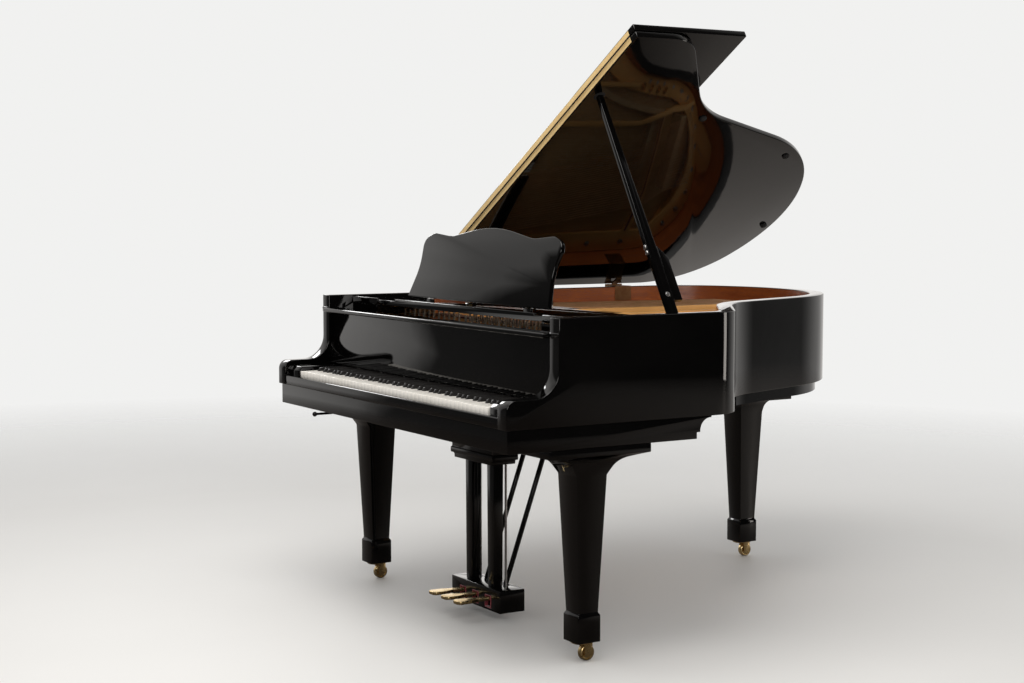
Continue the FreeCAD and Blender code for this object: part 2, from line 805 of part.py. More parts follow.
def make_key_surround():
    across = ("-rim_inside", "rim_inside")
    slip = box(across, ("slip_front", "slip_front + slip_depth"), ("rim_bottom", "slip_top"))
    keep(slip, "key_slip")
    profile = [
        ("slip_front + slip_depth", "rim_bottom", None),
        ("slip_front + slip_depth", "block_top - block_bevel", None),
        ("slip_front + slip_depth + block_bevel", "block_top", None),
        ("fall_front - rest_gap", "block_top", None),
        ("fall_front - rest_gap", "rim_bottom", None),
    ]
    inside = "keyboard_half + cheek_thickness + action_shift"
    width = "rim_inside - (%s)" % inside
    starts = ("-rim_inside", inside)
    keep(group(*[slab("YZ_Plane", profile, start, width) for start in starts]), "key_blocks")
    depth = ("name_rail_front", "name_rail_front + name_rail_depth")
    keep(box(across, depth, ("name_rail_bottom", "name_rail_bottom + name_rail_height")), "name_rail")
    rails = []
    for near in ("-rim_inside", "rim_inside - shelf_rail_width"):
        far = near + " + shelf_rail_width"
        height = ("shelf_bottom - rest_gap - shelf_rail_height", "shelf_bottom - rest_gap")
        rails.append(box((near, far), ("shelf_wing_front + shelf_block_depth", "shelf_back"), height))
    # A block under the front of each wing of the shelf
    depth = ("shelf_wing_front", "shelf_wing_front + shelf_block_depth")
    blocks = [
        box(("-rim_inside", "-shelf_half_width"), depth, height),
        box(("shelf_half_width", "rim_inside"), depth, height),
    ]
    keep(group(fuse(rails[0], blocks[0]), fuse(rails[1], blocks[1])), "shelf_rails")


# Frame under the soundboard, soundboard, bridges and iron plate
def make_back_frame():
    side = "rim_inside"
    depth = ("belly_front - belly_depth", "belly_front")
    rail = box(("-" + side, side), depth, ("rim_bottom", "inner_rim_top"))
    middle = "(waist_x + shoulder_x - half_width) / 2 - rim_wall"
    reach = "case_length - rim_wall - inner_rim_wall - belly_front"
    beams = []
    for lean in ("-beam_fan", "0", "beam_fan"):
        plan = [
            ("%s + (%s) - beam_width / 2" % (middle, lean), "belly_front", None),
            ("%s - beam_width / 2" % middle, "belly_front + " + reach, None),
            ("%s + beam_width / 2" % middle, "belly_front + " + reach, None),
            ("%s + (%s) + beam_width / 2" % (middle, lean), "belly_front", None),
        ]
        beams.append(slab("XY_Plane", plan, "rim_bottom", "beam_height"))
    room = slab(
        "XY_Plane",
        case_outline("rim_wall + inner_rim_wall", "belly_front"),
        "rim_bottom",
        "inner_rim_top - rim_bottom",
    )
    keep(group(rail, common(fuse(*beams), room)), "back_frame")


def make_soundboard():
    outline = case_outline("rim_wall + plate_gap", "belly_front - board_seat")
    board = slab("XY_Plane", outline, "inner_rim_top", "board_thickness")
    room = slab(
        "XY_Plane",
        case_outline("rim_wall + inner_rim_wall + plate_gap", "belly_front"),
        "inner_rim_top - rib_height",
        "rib_height",
    )
    ribs = []
    for index in range(RIBS):
        near = "belly_front + rib_pitch * %d" % (index + 1)
        height = ("inner_rim_top - rib_height", "inner_rim_top")
        bar = box(("-half_width", "half_width"), (near, near + " + rib_width"), height)
        ribs.append(common(bar, room))
    keep(group(board, *ribs), "soundboard")


def make_bridges():
    rise = "bridge_top - board_top"
    outside = slab("XY_Plane", case_outline("treble_bridge_inset", "belly_front"), "board_top", rise)
    inside = slab(
        "XY_Plane",
        case_outline("treble_bridge_inset + bridge_width", "belly_front - cut_overrun"),
        "board_top - cut_overrun",
        rise + " + 2 * cut_overrun",
    )
    treble_side = box(
        ("tenor_strut_x", "half_width"),
        ("damper_front + damper_length", "tenor_hitch_y"),
        ("board_top", "bridge_top"),
    )
    treble = common(cut(outside, inside), treble_side)
    tenor = box(
        ("tenor_bridge_left", "tenor_strut_x"),
        ("tenor_bridge_y", "tenor_bridge_y + bridge_width"),
        ("board_top", "bridge_top"),
    )
    bass = box(
        ("bass_bridge_left", "bass_bridge_right"),
        ("bass_bridge_y", "bass_bridge_y + bridge_width"),
        ("board_top", "bass_bridge_top"),
    )
    keep(group(treble, tenor, bass), "bridges")


def between(first, last, share):
    """A rule for a place part of the way from one rule to another."""
    return "(%s) + ((%s) - (%s)) * %g" % (first, last, first, share)


def make_iron_plate():
    inset = "rim_wall + plate_gap"
    whole = slab("XY_Plane", case_outline(inset, "plate_front"), "board_top", "plate_top - board_top")
    hollow = slab(
        "XY_Plane",
        case_outline(inset + " + plate_flange", "plate_front - cut_overrun"),
        "board_top - cut_overrun",
        "web_bottom - board_top + cut_overrun",
    )
    front_room = box(
        ("-half_width", "half_width"),
        ("plate_front - cut_overrun", "belly_front + cut_overrun"),
        ("board_top - cut_overrun", "web_bottom"),
    )
    # The field of strings is open from the hammer gap to the hitch line
    field = slab(
        "XY_Plane",
        case_outline("hitch_line", "gap_front"),
        "web_bottom - cut_overrun",
        "plate_web + 2 * cut_overrun",
    )
    slot_half = "keyboard_half + hammer_width"
    hammer_slot = box(
        ("-(%s)" % slot_half, slot_half),
        ("gap_front", "belly_front"),
        ("web_bottom - cut_overrun", "plate_top + cut_overrun"),
    )
    # Round ports follow the flank, midway between the rim and the hitch line
    ports = []
    corners = case_outline("hitch_inset", "0")
    for share in PORT_SHARES:
        across = between(corners[3][0], corners[4][0], share)
        along = between(corners[3][1], corners[4][1], share)
        spot = (across, along, "web_bottom - cut_overrun")
        ports.append(rod("port_radius", "plate_web + 2 * cut_overrun", spot))
    plate = cut(whole, hollow, front_room, field, hammer_slot, *ports)
    # Struts stand on the plate at both ends and pass over the strings
    rear_edge = "shoulder_y + (shoulder_x - tenor_strut_x) * rear_drop / rear_run"
    rear_reach = rear_edge + " - hitch_inset * rear_span / rear_run + strut_foot / 2"
    flank_edge = "waist_y + (waist_x - middle_strut_x) * flank_drop / flank_run"
    flank_reach = flank_edge + " - hitch_inset * flank_span / flank_run + strut_foot / 2"
    cheek_edge = "cheek_y + (half_width - treble_strut_x) * cheek_drop / cheek_run"
    cheek_reach = cheek_edge + " - hitch_inset * cheek_span / cheek_run + strut_foot / 2"
    struts = []
    for across, reach in (
        ("tenor_strut_x", rear_reach),
        ("middle_strut_x", flank_reach),
        ("treble_strut_x", cheek_reach),
    ):
        profile = [
            ("gap_front - strut_foot", "plate_top", None),
            ("gap_front - strut_foot", "strut_top", None),
            (reach, "strut_top", None),
            (reach, "plate_top", None),
            (reach + " - strut_foot", "plate_top", None),
            (reach + " - strut_foot", "strut_under", None),
            ("gap_front", "strut_under", None),
            ("gap_front", "plate_top", None),
        ]
        struts.append(slab("YZ_Plane", profile, across + " - strut_width / 2", "strut_width"))
    hitch_bar = box(
        ("-rim_inside + plate_gap", "tenor_strut_x + strut_width / 2"),
        ("tenor_hitch_y", "tenor_hitch_y + tenor_hitch_width"),
        ("web_bottom", "plate_top"),
    )
    bar_post = box(
        ("tenor_strut_x - strut_width / 2", "tenor_strut_x + strut_width / 2"),
        ("tenor_hitch_y", "tenor_hitch_y + tenor_hitch_width"),
        ("web_bottom", "strut_top"),
    )
    # The strings bear on two rails at the hammer gap, the bass rail higher than the other
    depth = ("gap_front", "gap_front + bearing_depth")
    bass = box(("-keyboard_half", "bass_bearing_end"), depth, ("web_bottom", "bass_bridge_top"))
    treble = box(("treble_bearing_start", "keyboard_half"), depth, ("web_bottom", "bridge_top"))
    keep(fuse(plate, hitch_bar, bar_post, bass, treble, *struts), "iron_plate")
    block = ("web_bottom - pin_block_height", "web_bottom")
    keep(box(("-rim_inside", "rim_inside"), ("pin_block_front", "gap_front"), block), "pin_block")


# Strings run straight back over the treble bridge; the bass strings cross above them
def note_x(note):
    """Where a note's string starts, across the case; the bass strings stand closer together."""
    half = value("keyboard_half")
    step = 2 * half / NOTES
    if note < BASS_NOTES:
        return -half + step * BASS_SPREAD_SHARE * (note + MIDDLE_SHARE)
    return -half + step * (note + MIDDLE_SHARE)


def bass_end_x(note):
    """Where a bass string ends, across the case."""
    left, right = value("bass_bridge_left"), value("bass_bridge_right")
    return left + (right - left) * (note + MIDDLE_SHARE) / BASS_NOTES


def wire(radius, start, end):
    return Part.makeCylinder(radius, (end - start).Length, start, end - start)


def make_strings():
    front = value("gap_front")
    height = value("string_height")
    treble = []
    for note in range(BASS_NOTES, NOTES):
        across = note_x(note)
        far = value("tenor_hitch_y + tenor_hitch_width / 2")
        if across > value("tenor_strut_x"):
            far = flank_y(across, "hitch_line")
        if abs(across - value("tenor_strut_x")) < value("strut_width"):
            far = value("tenor_hitch_y")
        start, end = Vector(across, front, height), Vector(across, far, height)
        treble.append(wire(value("string_radius"), start, end))
    keep(solids(treble), "treble_strings")
    bass = []
    height = value("bass_string_height")
    far = value("bass_bridge_y + 2 * bridge_width")
    for note in range(BASS_NOTES):
        start = Vector(note_x(note), front, height)
        bass.append(wire(value("bass_string_radius"), start, Vector(bass_end_x(note), far, height)))
    keep(solids(bass), "bass_strings")
    pins = []
    for note in range(NOTES):
        row = note % PIN_ROWS
        along = value("pin_row_front") + row * value("pin_row_pitch")
        spot = Vector(note_x(note), along, value("plate_top"))
        pins.append(Part.makeCylinder(value("pin_radius"), value("pin_height"), spot))
    keep(solids(pins), "tuning_pins")


# Keys: a white key's head fills its pitch, and behind the heads every key has a slot of its own
def key_slot(note):
    """Low and high edge of a note's slot, and its white head's edges or None for a black key."""
    octave, step = divmod(note + LOWEST_NOTE_IN_OCTAVE, OCTAVE_NOTES)
    pitch = value("white_pitch")
    octave_x = -value("keyboard_half") + pitch * (OCTAVE_WHITES * octave - LOWEST_WHITE_IN_OCTAVE)
    # The lower three whites share five equal slots, the upper four share seven
    if step < LOWER_NOTES:
        slot = pitch * LOWER_WHITES / LOWER_NOTES
        low = octave_x + slot * step
    else:
        slot = pitch * (OCTAVE_WHITES - LOWER_WHITES) / (OCTAVE_NOTES - LOWER_NOTES)
        low = octave_x + pitch * LOWER_WHITES + slot * (step - LOWER_NOTES)
    high = low + slot
    if step not in WHITE_STEPS:
        return low, high, None
    head = octave_x + pitch * WHITE_STEPS.index(step)
    low = head if note == 0 else low
    high = head + pitch if note == NOTES - 1 else high
    return low, high, (head, head + pitch)


def white_key(note):
    low, high, head = key_slot(note)
    gap = value("key_gap") / 2
    front, neck, back = value("key_front"), value("key_front + head_length"), value("key_back")
    bottom = value("key_bottom")
    corners = [
        (head[0] + gap, front),
        (head[0] + gap, neck),
        (low + gap, neck),
        (low + gap, back),
        (high - gap, back),
        (high - gap, neck),
        (head[1] - gap, neck),
        (head[1] - gap, front),
    ]
    points = []
    for across, along in corners:
        point = Vector(across, along, bottom)
        if not points or (point - points[-1]).Length > gap / 2:
            points.append(point)
    face = Part.Face(Part.makePolygon(points + points[:1]))
    return face.extrude(Vector(0, 0, value("key_height")))


def black_key(note):
    low, high, head = key_slot(note)
    gap = value("key_gap") / 2
    bottom, top = value("key_bottom"), value("key_top + black_rise")
    draft, slope = value("black_side_draft"), value("black_front_draft")
    front, end, back = value("black_front"), value("black_back"), value("key_back")
    corner = Vector(low + gap, front, bottom)
    stick = Part.makeBox(high - low - 2 * gap, back - front, value("key_height"), corner)
    level = value("key_top")
    foot = [Vector(low + gap, front, level), Vector(high - gap, front, level)]
    foot += [Vector(high - gap, end, level), Vector(low + gap, end, level)]
    cap = [Vector(low + gap + draft, front + slope, top), Vector(high - gap - draft, front + slope, top)]
    cap += [Vector(high - gap - draft, end, top), Vector(low + gap + draft, end, top)]
    rise = Part.makeLoft([Part.makePolygon(foot + foot[:1]), Part.makePolygon(cap + cap[:1])], True, True)
    return stick.fuse(rise).removeSplitter()


def make_keys():
    sets = {}
    for note in range(NOTES):
        color = "black" if key_slot(note)[2] is None else "white"
        shape = white_key(note) if color == "white" else black_key(note)
        if FIRST_SINGLE_KEY <= note < FIRST_SINGLE_KEY + len(SINGLE_KEYS):
            keep(solids([shape.Solids[0]]), "key_" + SINGLE_KEYS[note - FIRST_SINGLE_KEY])
        else:
            side = "bass" if note < FIRST_SINGLE_KEY else "treble"
            sets.setdefault(side + "_" + color, []).append(shape.Solids[0])
    for name in ("bass_white", "bass_black", "treble_white", "treble_black"):
        keep(solids(sets[name]), name + "_keys")


def make_key_frame():
    half = "keyboard_half"
    across = ("-" + half, half)
    rails = []
    for near, width, top in (
        ("front_rail_y", "rail_width", "key_bottom - front_rail_drop"),
        ("balance_y - balance_width / 2", "balance_width", "key_bottom - bearing_gap"),
        ("back_rail_y", "rail_width", "key_bottom - rest_gap"),
    ):
        rails.append(box(across, (near, near + " + " + width), ("rim_bottom", top)))
    rail_low = "hammer_pivot_height - shank_height / 2 - rest_gap - hammer_rail_height"
    rail_front = "hammer_pivot_y - hammer_rail_depth / 2"
    rail_depth = (rail_front, rail_front + " + hammer_rail_depth")
    wide = "keyboard_half + cheek_thickness - rest_gap"
    rails.append(box(("-(%s)" % wide, wide), rail_depth, (rail_low, rail_low + " + hammer_rail_height")))
    for near, far in (("-(%s)" % wide, "-" + half), (half, wide)):
        rails.append(box((near, far), ("front_rail_y", rail_front), ("rim_bottom", "key_bottom")))
        rails.append(box((near, far), rail_depth, ("rim_bottom", rail_low)))
    keep(fuse(*rails), "key_frame")


def make_hammers():
    pivot_y, pivot = value("hammer_pivot_y"), value("hammer_pivot_height")
    reach, half = value("hammer_reach"), value("shank_height / 2")
    depth, top, drop = value("hammer_head_depth"), value("hammer_head_height"), value("hammer_head_drop")
    hammers = []
    for note in range(NOTES):
        across = note_x(note) - value("hammer_width") / 2
        profile = [
            (pivot_y, pivot - half),
            (pivot_y, pivot + half),
            (pivot_y + reach - depth / 2, pivot + half),
            (pivot_y + reach - depth / 4, pivot + top),
            (pivot_y + reach + depth / 4, pivot + top),
            (pivot_y + reach + depth / 2, pivot - drop),
            (pivot_y + reach - depth / 2, pivot - drop),
            (pivot_y + reach - depth / 2, pivot - half),
        ]
        points = [Vector(across, along, up) for along, up in profile]
        face = Part.Face(Part.makePolygon(points + points[:1]))
        hammers.append(face.extrude(Vector(value("hammer_width"), 0, 0)))
    keep(solids(hammers), "hammers")


def make_dampers():
    strut_spots = [value(name) for name in ("tenor_strut_x", "middle_strut_x", "treble_strut_x")]
    clear = value("strut_width / 2 + damper_width")
    width = value("damper_width")
    pads = []
    for note in range(DAMPED_NOTES):
        across = note_x(note)
        height = value("string_height + string_radius + damper_gap")
        if note < BASS_NOTES:
            height = value("bass_string_height + bass_string_radius + damper_gap")
        if min(abs(across - spot) for spot in strut_spots) < clear:
            continue
        corner = Vector(across - width / 2, value("damper_front"), height)
        if note < BASS_NOTES:
            corner.x += damper_shift(note)
        pads.append(Part.makeBox(width, value("damper_length"), value("damper_height"), corner))
    keep(solids(pads), "dampers")


def damper_shift(note):
    """How far a slanting bass string has moved across by the time it passes its damper."""
    front = value("gap_front")
    run = value("bass_bridge_y + 2 * bridge_width") - front
    share = (value("damper_front + damper_length / 2") - front) / run
    return (bass_end_x(note) - note_x(note)) * share


# Legs and casters
def cap_profile(middle, top, half, height, curve):
    """The hollow flare at the top of a leg, seen from one side."""
    corners = []
    for side in ("-", "+"):
        foot = "%s %s leg_top_width / 2" % (middle, side)
        knee = "%s %s (%s - leg_top_width / 2) * flare_knee_share" % (foot, side, half)
        flare = [
            (foot, top, None),
            (knee, "%s + %s * flare_knee_rise_share" % (top, height), curve),
            ("%s %s %s" % (middle, side, half), "%s + %s" % (top, height), None),
        ]
        corners += flare if side == "-" else reversed(flare)
    return corners


def make_leg(label, x, y, top, flare, plates):
    """A tapered leg; flare is its half widths, height and curve, plates their half widths and thickness."""
    shaft = taper(x, y, ("leg_foot_width / 2", "caster_height + foot_height"), ("leg_top_width / 2", top))
    foot = box(
        ("%s - foot_width / 2" % x, "%s + foot_width / 2" % x),
        ("%s - foot_width / 2" % y, "%s + foot_width / 2" % y),
        ("caster_height", "caster_height + foot_height - foot_bevel"),
    )
    bevel = taper(
        x,
        y,
        ("foot_width / 2", "caster_height + foot_height - foot_bevel"),
        ("leg_foot_width / 2", "caster_height + foot_height"),
    )
    half_x, half_y, height, curve = flare
    front = cap_profile(x, top, half_x, height, curve)
    side = cap_profile(y, top, half_y, height, curve)
    shoulder = slab("XZ_Plane", front, "%s - %s" % (y, half_y), "2 * " + half_y)
    cross = slab("YZ_Plane", side, "%s - %s" % (x, half_x), "2 * " + half_x)
    caps = []
    level = "%s + %s" % (top, height)
    for half_x, half_y, thickness in plates:
        across = ("%s - %s" % (x, half_x), "%s + %s" % (x, half_x))
        along = ("%s - %s" % (y, half_y), "%s + %s" % (y, half_y))
        caps.append(box(across, along, (level, "%s + %s" % (level, thickness))))
        level = "%s + %s" % (level, thickness)
    depth = "stem_length + rest_gap + cut_overrun"
    socket = rod("stem_radius + fit_clearance", depth, (x, y, "caster_height - cut_overrun"))
    keep(cut(fuse(shaft, foot, bevel, common(shoulder, cross), *caps), socket), label)


def make_caster(side, x, y):
    """A fork that trails towards the tail, with its stem and axle, and the wheel on it."""
    axle_y = "%s + caster_trail" % y
    half = "(wheel_width / 2 + wheel_play)"
    plate = rod("fork_plate_radius", "fork_plate_height", (x, y, "fork_plate_bottom"))
    stem = rod("stem_radius", "stem_length", (x, y, "fork_plate_top"))
    cheeks = []
    for near in ("%s - %s - fork_wall" % (x, half), "%s + %s" % (x, half)):
        reach = (axle_y + " - fork_width / 2", axle_y + " + fork_width / 2")
        rise = ("wheel_radius - axle_radius * 2", "fork_plate_bottom")
        cheeks.append(box((near, near + " + fork_wall"), reach, rise))
    axle = rod(
        "axle_radius",
        "2 * (%s + fork_wall)" % half,
        ("%s - %s - fork_wall" % (x, half), axle_y, "wheel_radius"),
        "X",
    )
    keep(fuse(plate, stem, axle, *cheeks), side + "_caster_fork")
    tyre = rod("wheel_radius", "wheel_width", ("%s - wheel_width / 2" % x, axle_y, "wheel_radius"), "X")
    bore = rod(
        "axle_radius + fit_clearance",
        "wheel_width + 2 * cut_overrun",
        ("%s - wheel_width / 2 - cut_overrun" % x, axle_y, "wheel_radius"),
        "X",
    )
    keep(cut(tyre, bore), side + "_caster_wheel")


def make_stands():
    flare = ("leg_cap_half_x", "leg_cap_half_y", "leg_flare_height", "flare_round")
    plates = [("leg_cap_half_x", "leg_cap_half_y", "leg_plate_thickness")]
    tail_flare = ("tail_cap_half", "tail_cap_half", "tail_flare_height", "tail_flare_round")
    tail_plates = [
        ("tail_plate_half", "tail_plate_half", "tail_plate_thickness"),
        ("tail_block_half", "tail_plate_half", "tail_block_height"),
    ]
    make_leg("bass_leg", "-leg_front_x", "leg_front_y", "leg_top", flare, plates)
    make_leg("treble_leg", "leg_front_x", "leg_front_y", "leg_top", flare, plates)
    make_leg("tail_leg", "leg_tail_x", "leg_tail_y", "leg_top", tail_flare, tail_plates)
    make_caster("bass", "-leg_front_x", "leg_front_y")
    make_caster("treble", "leg_front_x", "leg_front_y")
    make_caster("tail", "leg_tail_x", "leg_tail_y")


# Lyre with its pedals
def make_lyre():
    half = "lyre_head_width / 2"
    neck = "lyre_head_neck / 2"
    head = [
        ("-" + half, "keybed_bottom", None),
        (half, "keybed_bottom", None),
        (half, "keybed_bottom - lyre_head_lip", None),
        (neck, "keybed_bottom - lyre_head_lip", "lyre_head_round / 2"),
        (neck, "lyre_head_bottom", None),
        ("-" + neck, "lyre_head_bottom", None),
        ("-" + neck, "keybed_bottom - lyre_head_lip", "lyre_head_round / 2"),
        ("-" + half, "keybed_bottom - lyre_head_lip", None),
    ]
    block = slab("XZ_Plane", head, "lyre_y - lyre_head_reach", "lyre_head_depth")
    holes = []
    for side in ("-pedal_pitch", "0", "pedal_pitch"):
        spot = (side, "rod_y", "lyre_head_bottom - cut_overrun")
        depth = "keybed_bottom - lyre_head_bottom + 2 * cut_overrun"
        holes.append(rod("rod_radius + rod_hole_margin", depth, spot))
    keep(cut(block, *holes), "lyre_head")
    posts = []
    for side in ("-post_x", "post_x"):
        profile = [
            ("%s - post_foot_width / 2" % side, "pedal_box_top", None),
            ("%s - post_top_width / 2" % side, "lyre_head_bottom", None),
            ("%s + post_top_width / 2" % side, "lyre_head_bottom", None),
            ("%s + post_foot_width / 2" % side, "pedal_box_top", None),
        ]
        posts.append(slab("XZ_Plane", profile, "lyre_y - post_depth / 2 - pedal_box_wall", "post_depth"))
    keep(group(*posts), "lyre_posts")
    wide, deep = "pedal_box_width / 2", "pedal_box_depth / 2"
    along = ("lyre_y - " + deep, "lyre_y + " + deep)
    shell = box(("-" + wide, wide), along, ("pedal_box_bottom", "pedal_box_top"))
    wall = "pedal_box_wall"
    room = box(
        ("-%s + %s" % (wide, wall), "%s - %s" % (wide, wall)),
        ("lyre_y - %s + %s" % (deep, wall), "lyre_y + %s - %s" % (deep, wall)),
        ("pedal_box_bottom + pedal_box_lip", "pedal_box_top - pedal_box_lip"),
    )
    tools = [room]
    for side in ("-pedal_pitch", "0", "pedal_pitch"):
        span = "pedal_neck_width / 2 + slot_margin"
        slot = box(
            ("%s - (%s)" % (side, span), "%s + %s" % (side, span)),
            ("lyre_y - %s - cut_overrun" % deep, "lyre_y"),
            ("pedal_height - slot_drop", "pedal_top + slot_margin"),
        )
        spot = (side, "rod_y", "pedal_box_top - cut_overrun")
        hole = rod("rod_radius + rod_hole_margin", "cut_overrun * 2", spot)
        tools += [slot, hole]
    pin = rod(
        "pedal_pin_radius",
        "pedal_box_width - 2 * pedal_box_wall",
        ("-%s + %s" % (wide, wall), "pedal_pivot_y", "pedal_height + pedal_thickness / 2"),
        "X",
    )
    keep(fuse(cut(shell, *tools), pin), "pedal_box")
    braces = []
    run, climb = "(brace_head_y - brace_foot_y)", "(keybed_bottom - pedal_box_top)"
    for side in ("-brace_x", "brace_x"):
        bar = doc.addObject("Part::Cylinder", "Brace")
        length = "sqrt(%s ^ 2 + %s ^ 2)" % (run, climb)
        bind(bar, {"Radius": "brace_radius", "Height": length + " + 4 * brace_radius"})
        ratio = "2 * brace_radius / " + length
        foot = (side, "brace_foot_y - %s * %s" % (run, ratio), "pedal_box_top - %s * %s" % (climb, ratio))
        place(bar, foot, [("X", "-atan(%s / %s)" % (run, climb))])
        room = box(("-half_width", "half_width"), ("0", "case_length"), ("pedal_box_top", "keybed_bottom"))
        braces.append(common(bar, room))
    keep(group(*braces), "lyre_braces")


def make_pedals():
    for name, x in (("left", "-pedal_pitch"), ("middle", "0"), ("right", "pedal_pitch")):
        tip, neck = "pedal_tip_width / 2", "pedal_neck_width / 2"
        plan = [
            ("%s - %s" % (x, tip), "pedal_tip_y", "pedal_tip_width / 3"),
            ("%s - %s" % (x, tip), "pedal_tip_y + pedal_tip_width", "pedal_tip_width / 2"),
            ("%s - %s" % (x, neck), "pedal_neck_y", "pedal_tip_width / 2"),
            ("%s - %s" % (x, neck), "pedal_tail_y", None),
            ("%s + %s" % (x, neck), "pedal_tail_y", None),
            ("%s + %s" % (x, neck), "pedal_neck_y", "pedal_tip_width / 2"),
            ("%s + %s" % (x, tip), "pedal_tip_y + pedal_tip_width", "pedal_tip_width / 2"),
            ("%s + %s" % (x, tip), "pedal_tip_y", "pedal_tip_width / 3"),
        ]
        blade = slab("XY_Plane", plan, "pedal_height", "pedal_thickness")
        boss_x = "%s - %s" % (x, neck)
        middle = "pedal_height + pedal_thickness / 2"
        boss = rod("pedal_pin_radius * 2", "pedal_neck_width", (boss_x, "pedal_pivot_y", middle), "X")
        spot = (boss_x + " - cut_overrun", "pedal_pivot_y", middle)
        bore = rod("pedal_pin_radius + fit_clearance", "pedal_neck_width + 2 * cut_overrun", spot, "X")
        keep(cut(fuse(blade, boss), bore), name + "_pedal")
        top = "keybed_bottom + rod_guide_depth - rod_headroom"
        link = rod("rod_radius", "%s - pedal_top - rod_gap" % top, (x, "rod_y", "pedal_top + rod_gap"))
        keep(link, name + "_pedal_rod")


# Lids in the closed pose about the hinge line, then turned open
def hang(thing):
    return place(thing, ("hinge_x", "0", "hinge_height"), [("Y", "-lid_angle")])


def make_lids():
    outline = case_outline("-lid_overhang", "lid_front", "half_width + hinge_out")
    lid = slab("XY_Plane", outline, "0", "lid_thickness")
    place_on_lid(lid, "lid_bottom_local")
    keep(lid, "main_lid")
    left, right = "hinge_out - lid_overhang", "case_width + hinge_out + lid_overhang"
    panel = rectangle((left, right), ("lid_front", "lid_front + flap_length"))
    flap = slab("XY_Plane", panel, "0", "lid_thickness")
    place_on_lid(flap, "flap_bottom_local")
    keep(flap, "front_lid")
    ends = (left + " + flap_leaf_margin", right + " - flap_leaf_margin")
    length = "(%s) - (%s)" % (ends[1], ends[0])
    axis = (ends[0], "flap_pin_y", "flap_pin_local")
    barrel = rod("flap_barrel_radius", length, axis, "X")
    # Each leaf covers the edge of its lid and stands out by less than half the gap between the lids
    depth = ("flap_pin_y + flap_leaf_gap", "lid_front")
    lower = box(ends, depth, ("lid_bottom_local + flap_leaf_edge", "flap_pin_local"))
    keep(hang(group(fuse(lower, barrel))), "flap_hinge_rear_leaf")
    rise = ("flap_bottom_local + rest_gap", "flap_bottom_local + lid_thickness - flap_leaf_edge")
    upper = box(ends, depth, rise)
    keep(hang(group(upper)), "flap_hinge_front_leaf")


def place_on_lid(thing, lift):
    """Stand a slab at a height above the hinge line and turn it with the lid."""
    place(
        thing,
        ("hinge_x - (%s) * sin(lid_angle)" % lift, "0", "hinge_height + (%s) * cos(lid_angle)" % lift),
        [("Y", "-lid_angle")],
    )


def make_lid_fittings():
    fixed, moving = [], []
    third = "hinge_leaf_length / 3"
    for start in ("hinge_front_y", "hinge_back_y"):
        middle = ("%s + %s + rest_gap" % (start, third), "%s + 2 * %s - rest_gap" % (start, third))
        outer = (start, "%s + hinge_leaf_length" % start)
        top = ("rim_top", "rim_top + hinge_leaf_thickness")
        strap = box(("hinge_x", "-rim_inside + hinge_leaf_thickness"), outer, top)
        skirt = box(
            ("-rim_inside", "-rim_inside + hinge_leaf_thickness"),
            outer,
            ("rim_top - hinge_skirt", "rim_top + hinge_leaf_thickness"),
        )
        notch = box(
            ("hinge_x - 2 * hinge_barrel_radius", "-half_width"),
            ("%s + %s" % (start, third), "%s + 2 * %s" % (start, third)),
            ("rim_top - cut_overrun", "rim_top + cut_overrun"),
        )
        barrel = rod("hinge_barrel_radius", "hinge_leaf_length", ("hinge_x", start, "hinge_height"), "Y")
        pin = rod("hinge_pin_radius", "hinge_leaf_length", ("hinge_x", start, "hinge_height"), "Y")
        fixed.append(fuse(cut(fuse(strap, skirt, barrel), notch), pin))
        leaf = box(
            ("0", "hinge_leaf_width"),
            middle,
            ("lid_bottom_local - hinge_leaf_thickness", "lid_bottom_local"),
        )
        eye = rod("hinge_barrel_radius", "(%s) - (%s)" % (middle[1], middle[0]), ("0", middle[0], "0"), "Y")
        bore = rod("hinge_pin_radius + fit_clearance", "hinge_leaf_length", ("0", start, "0"), "Y")
        moving.append(cut(fuse(leaf, eye), bore))
    keep(group(*fixed), "hinge_rim_leaves")
    keep(hang(group(*moving)), "hinge_lid_leaves")


# Props: the long one leans towards the spine, the short one lies along its foot
def stand_prop(thing):
    return place(thing, ("prop_x", "prop_y", "prop_height"), [("Y", "-prop_lean")])


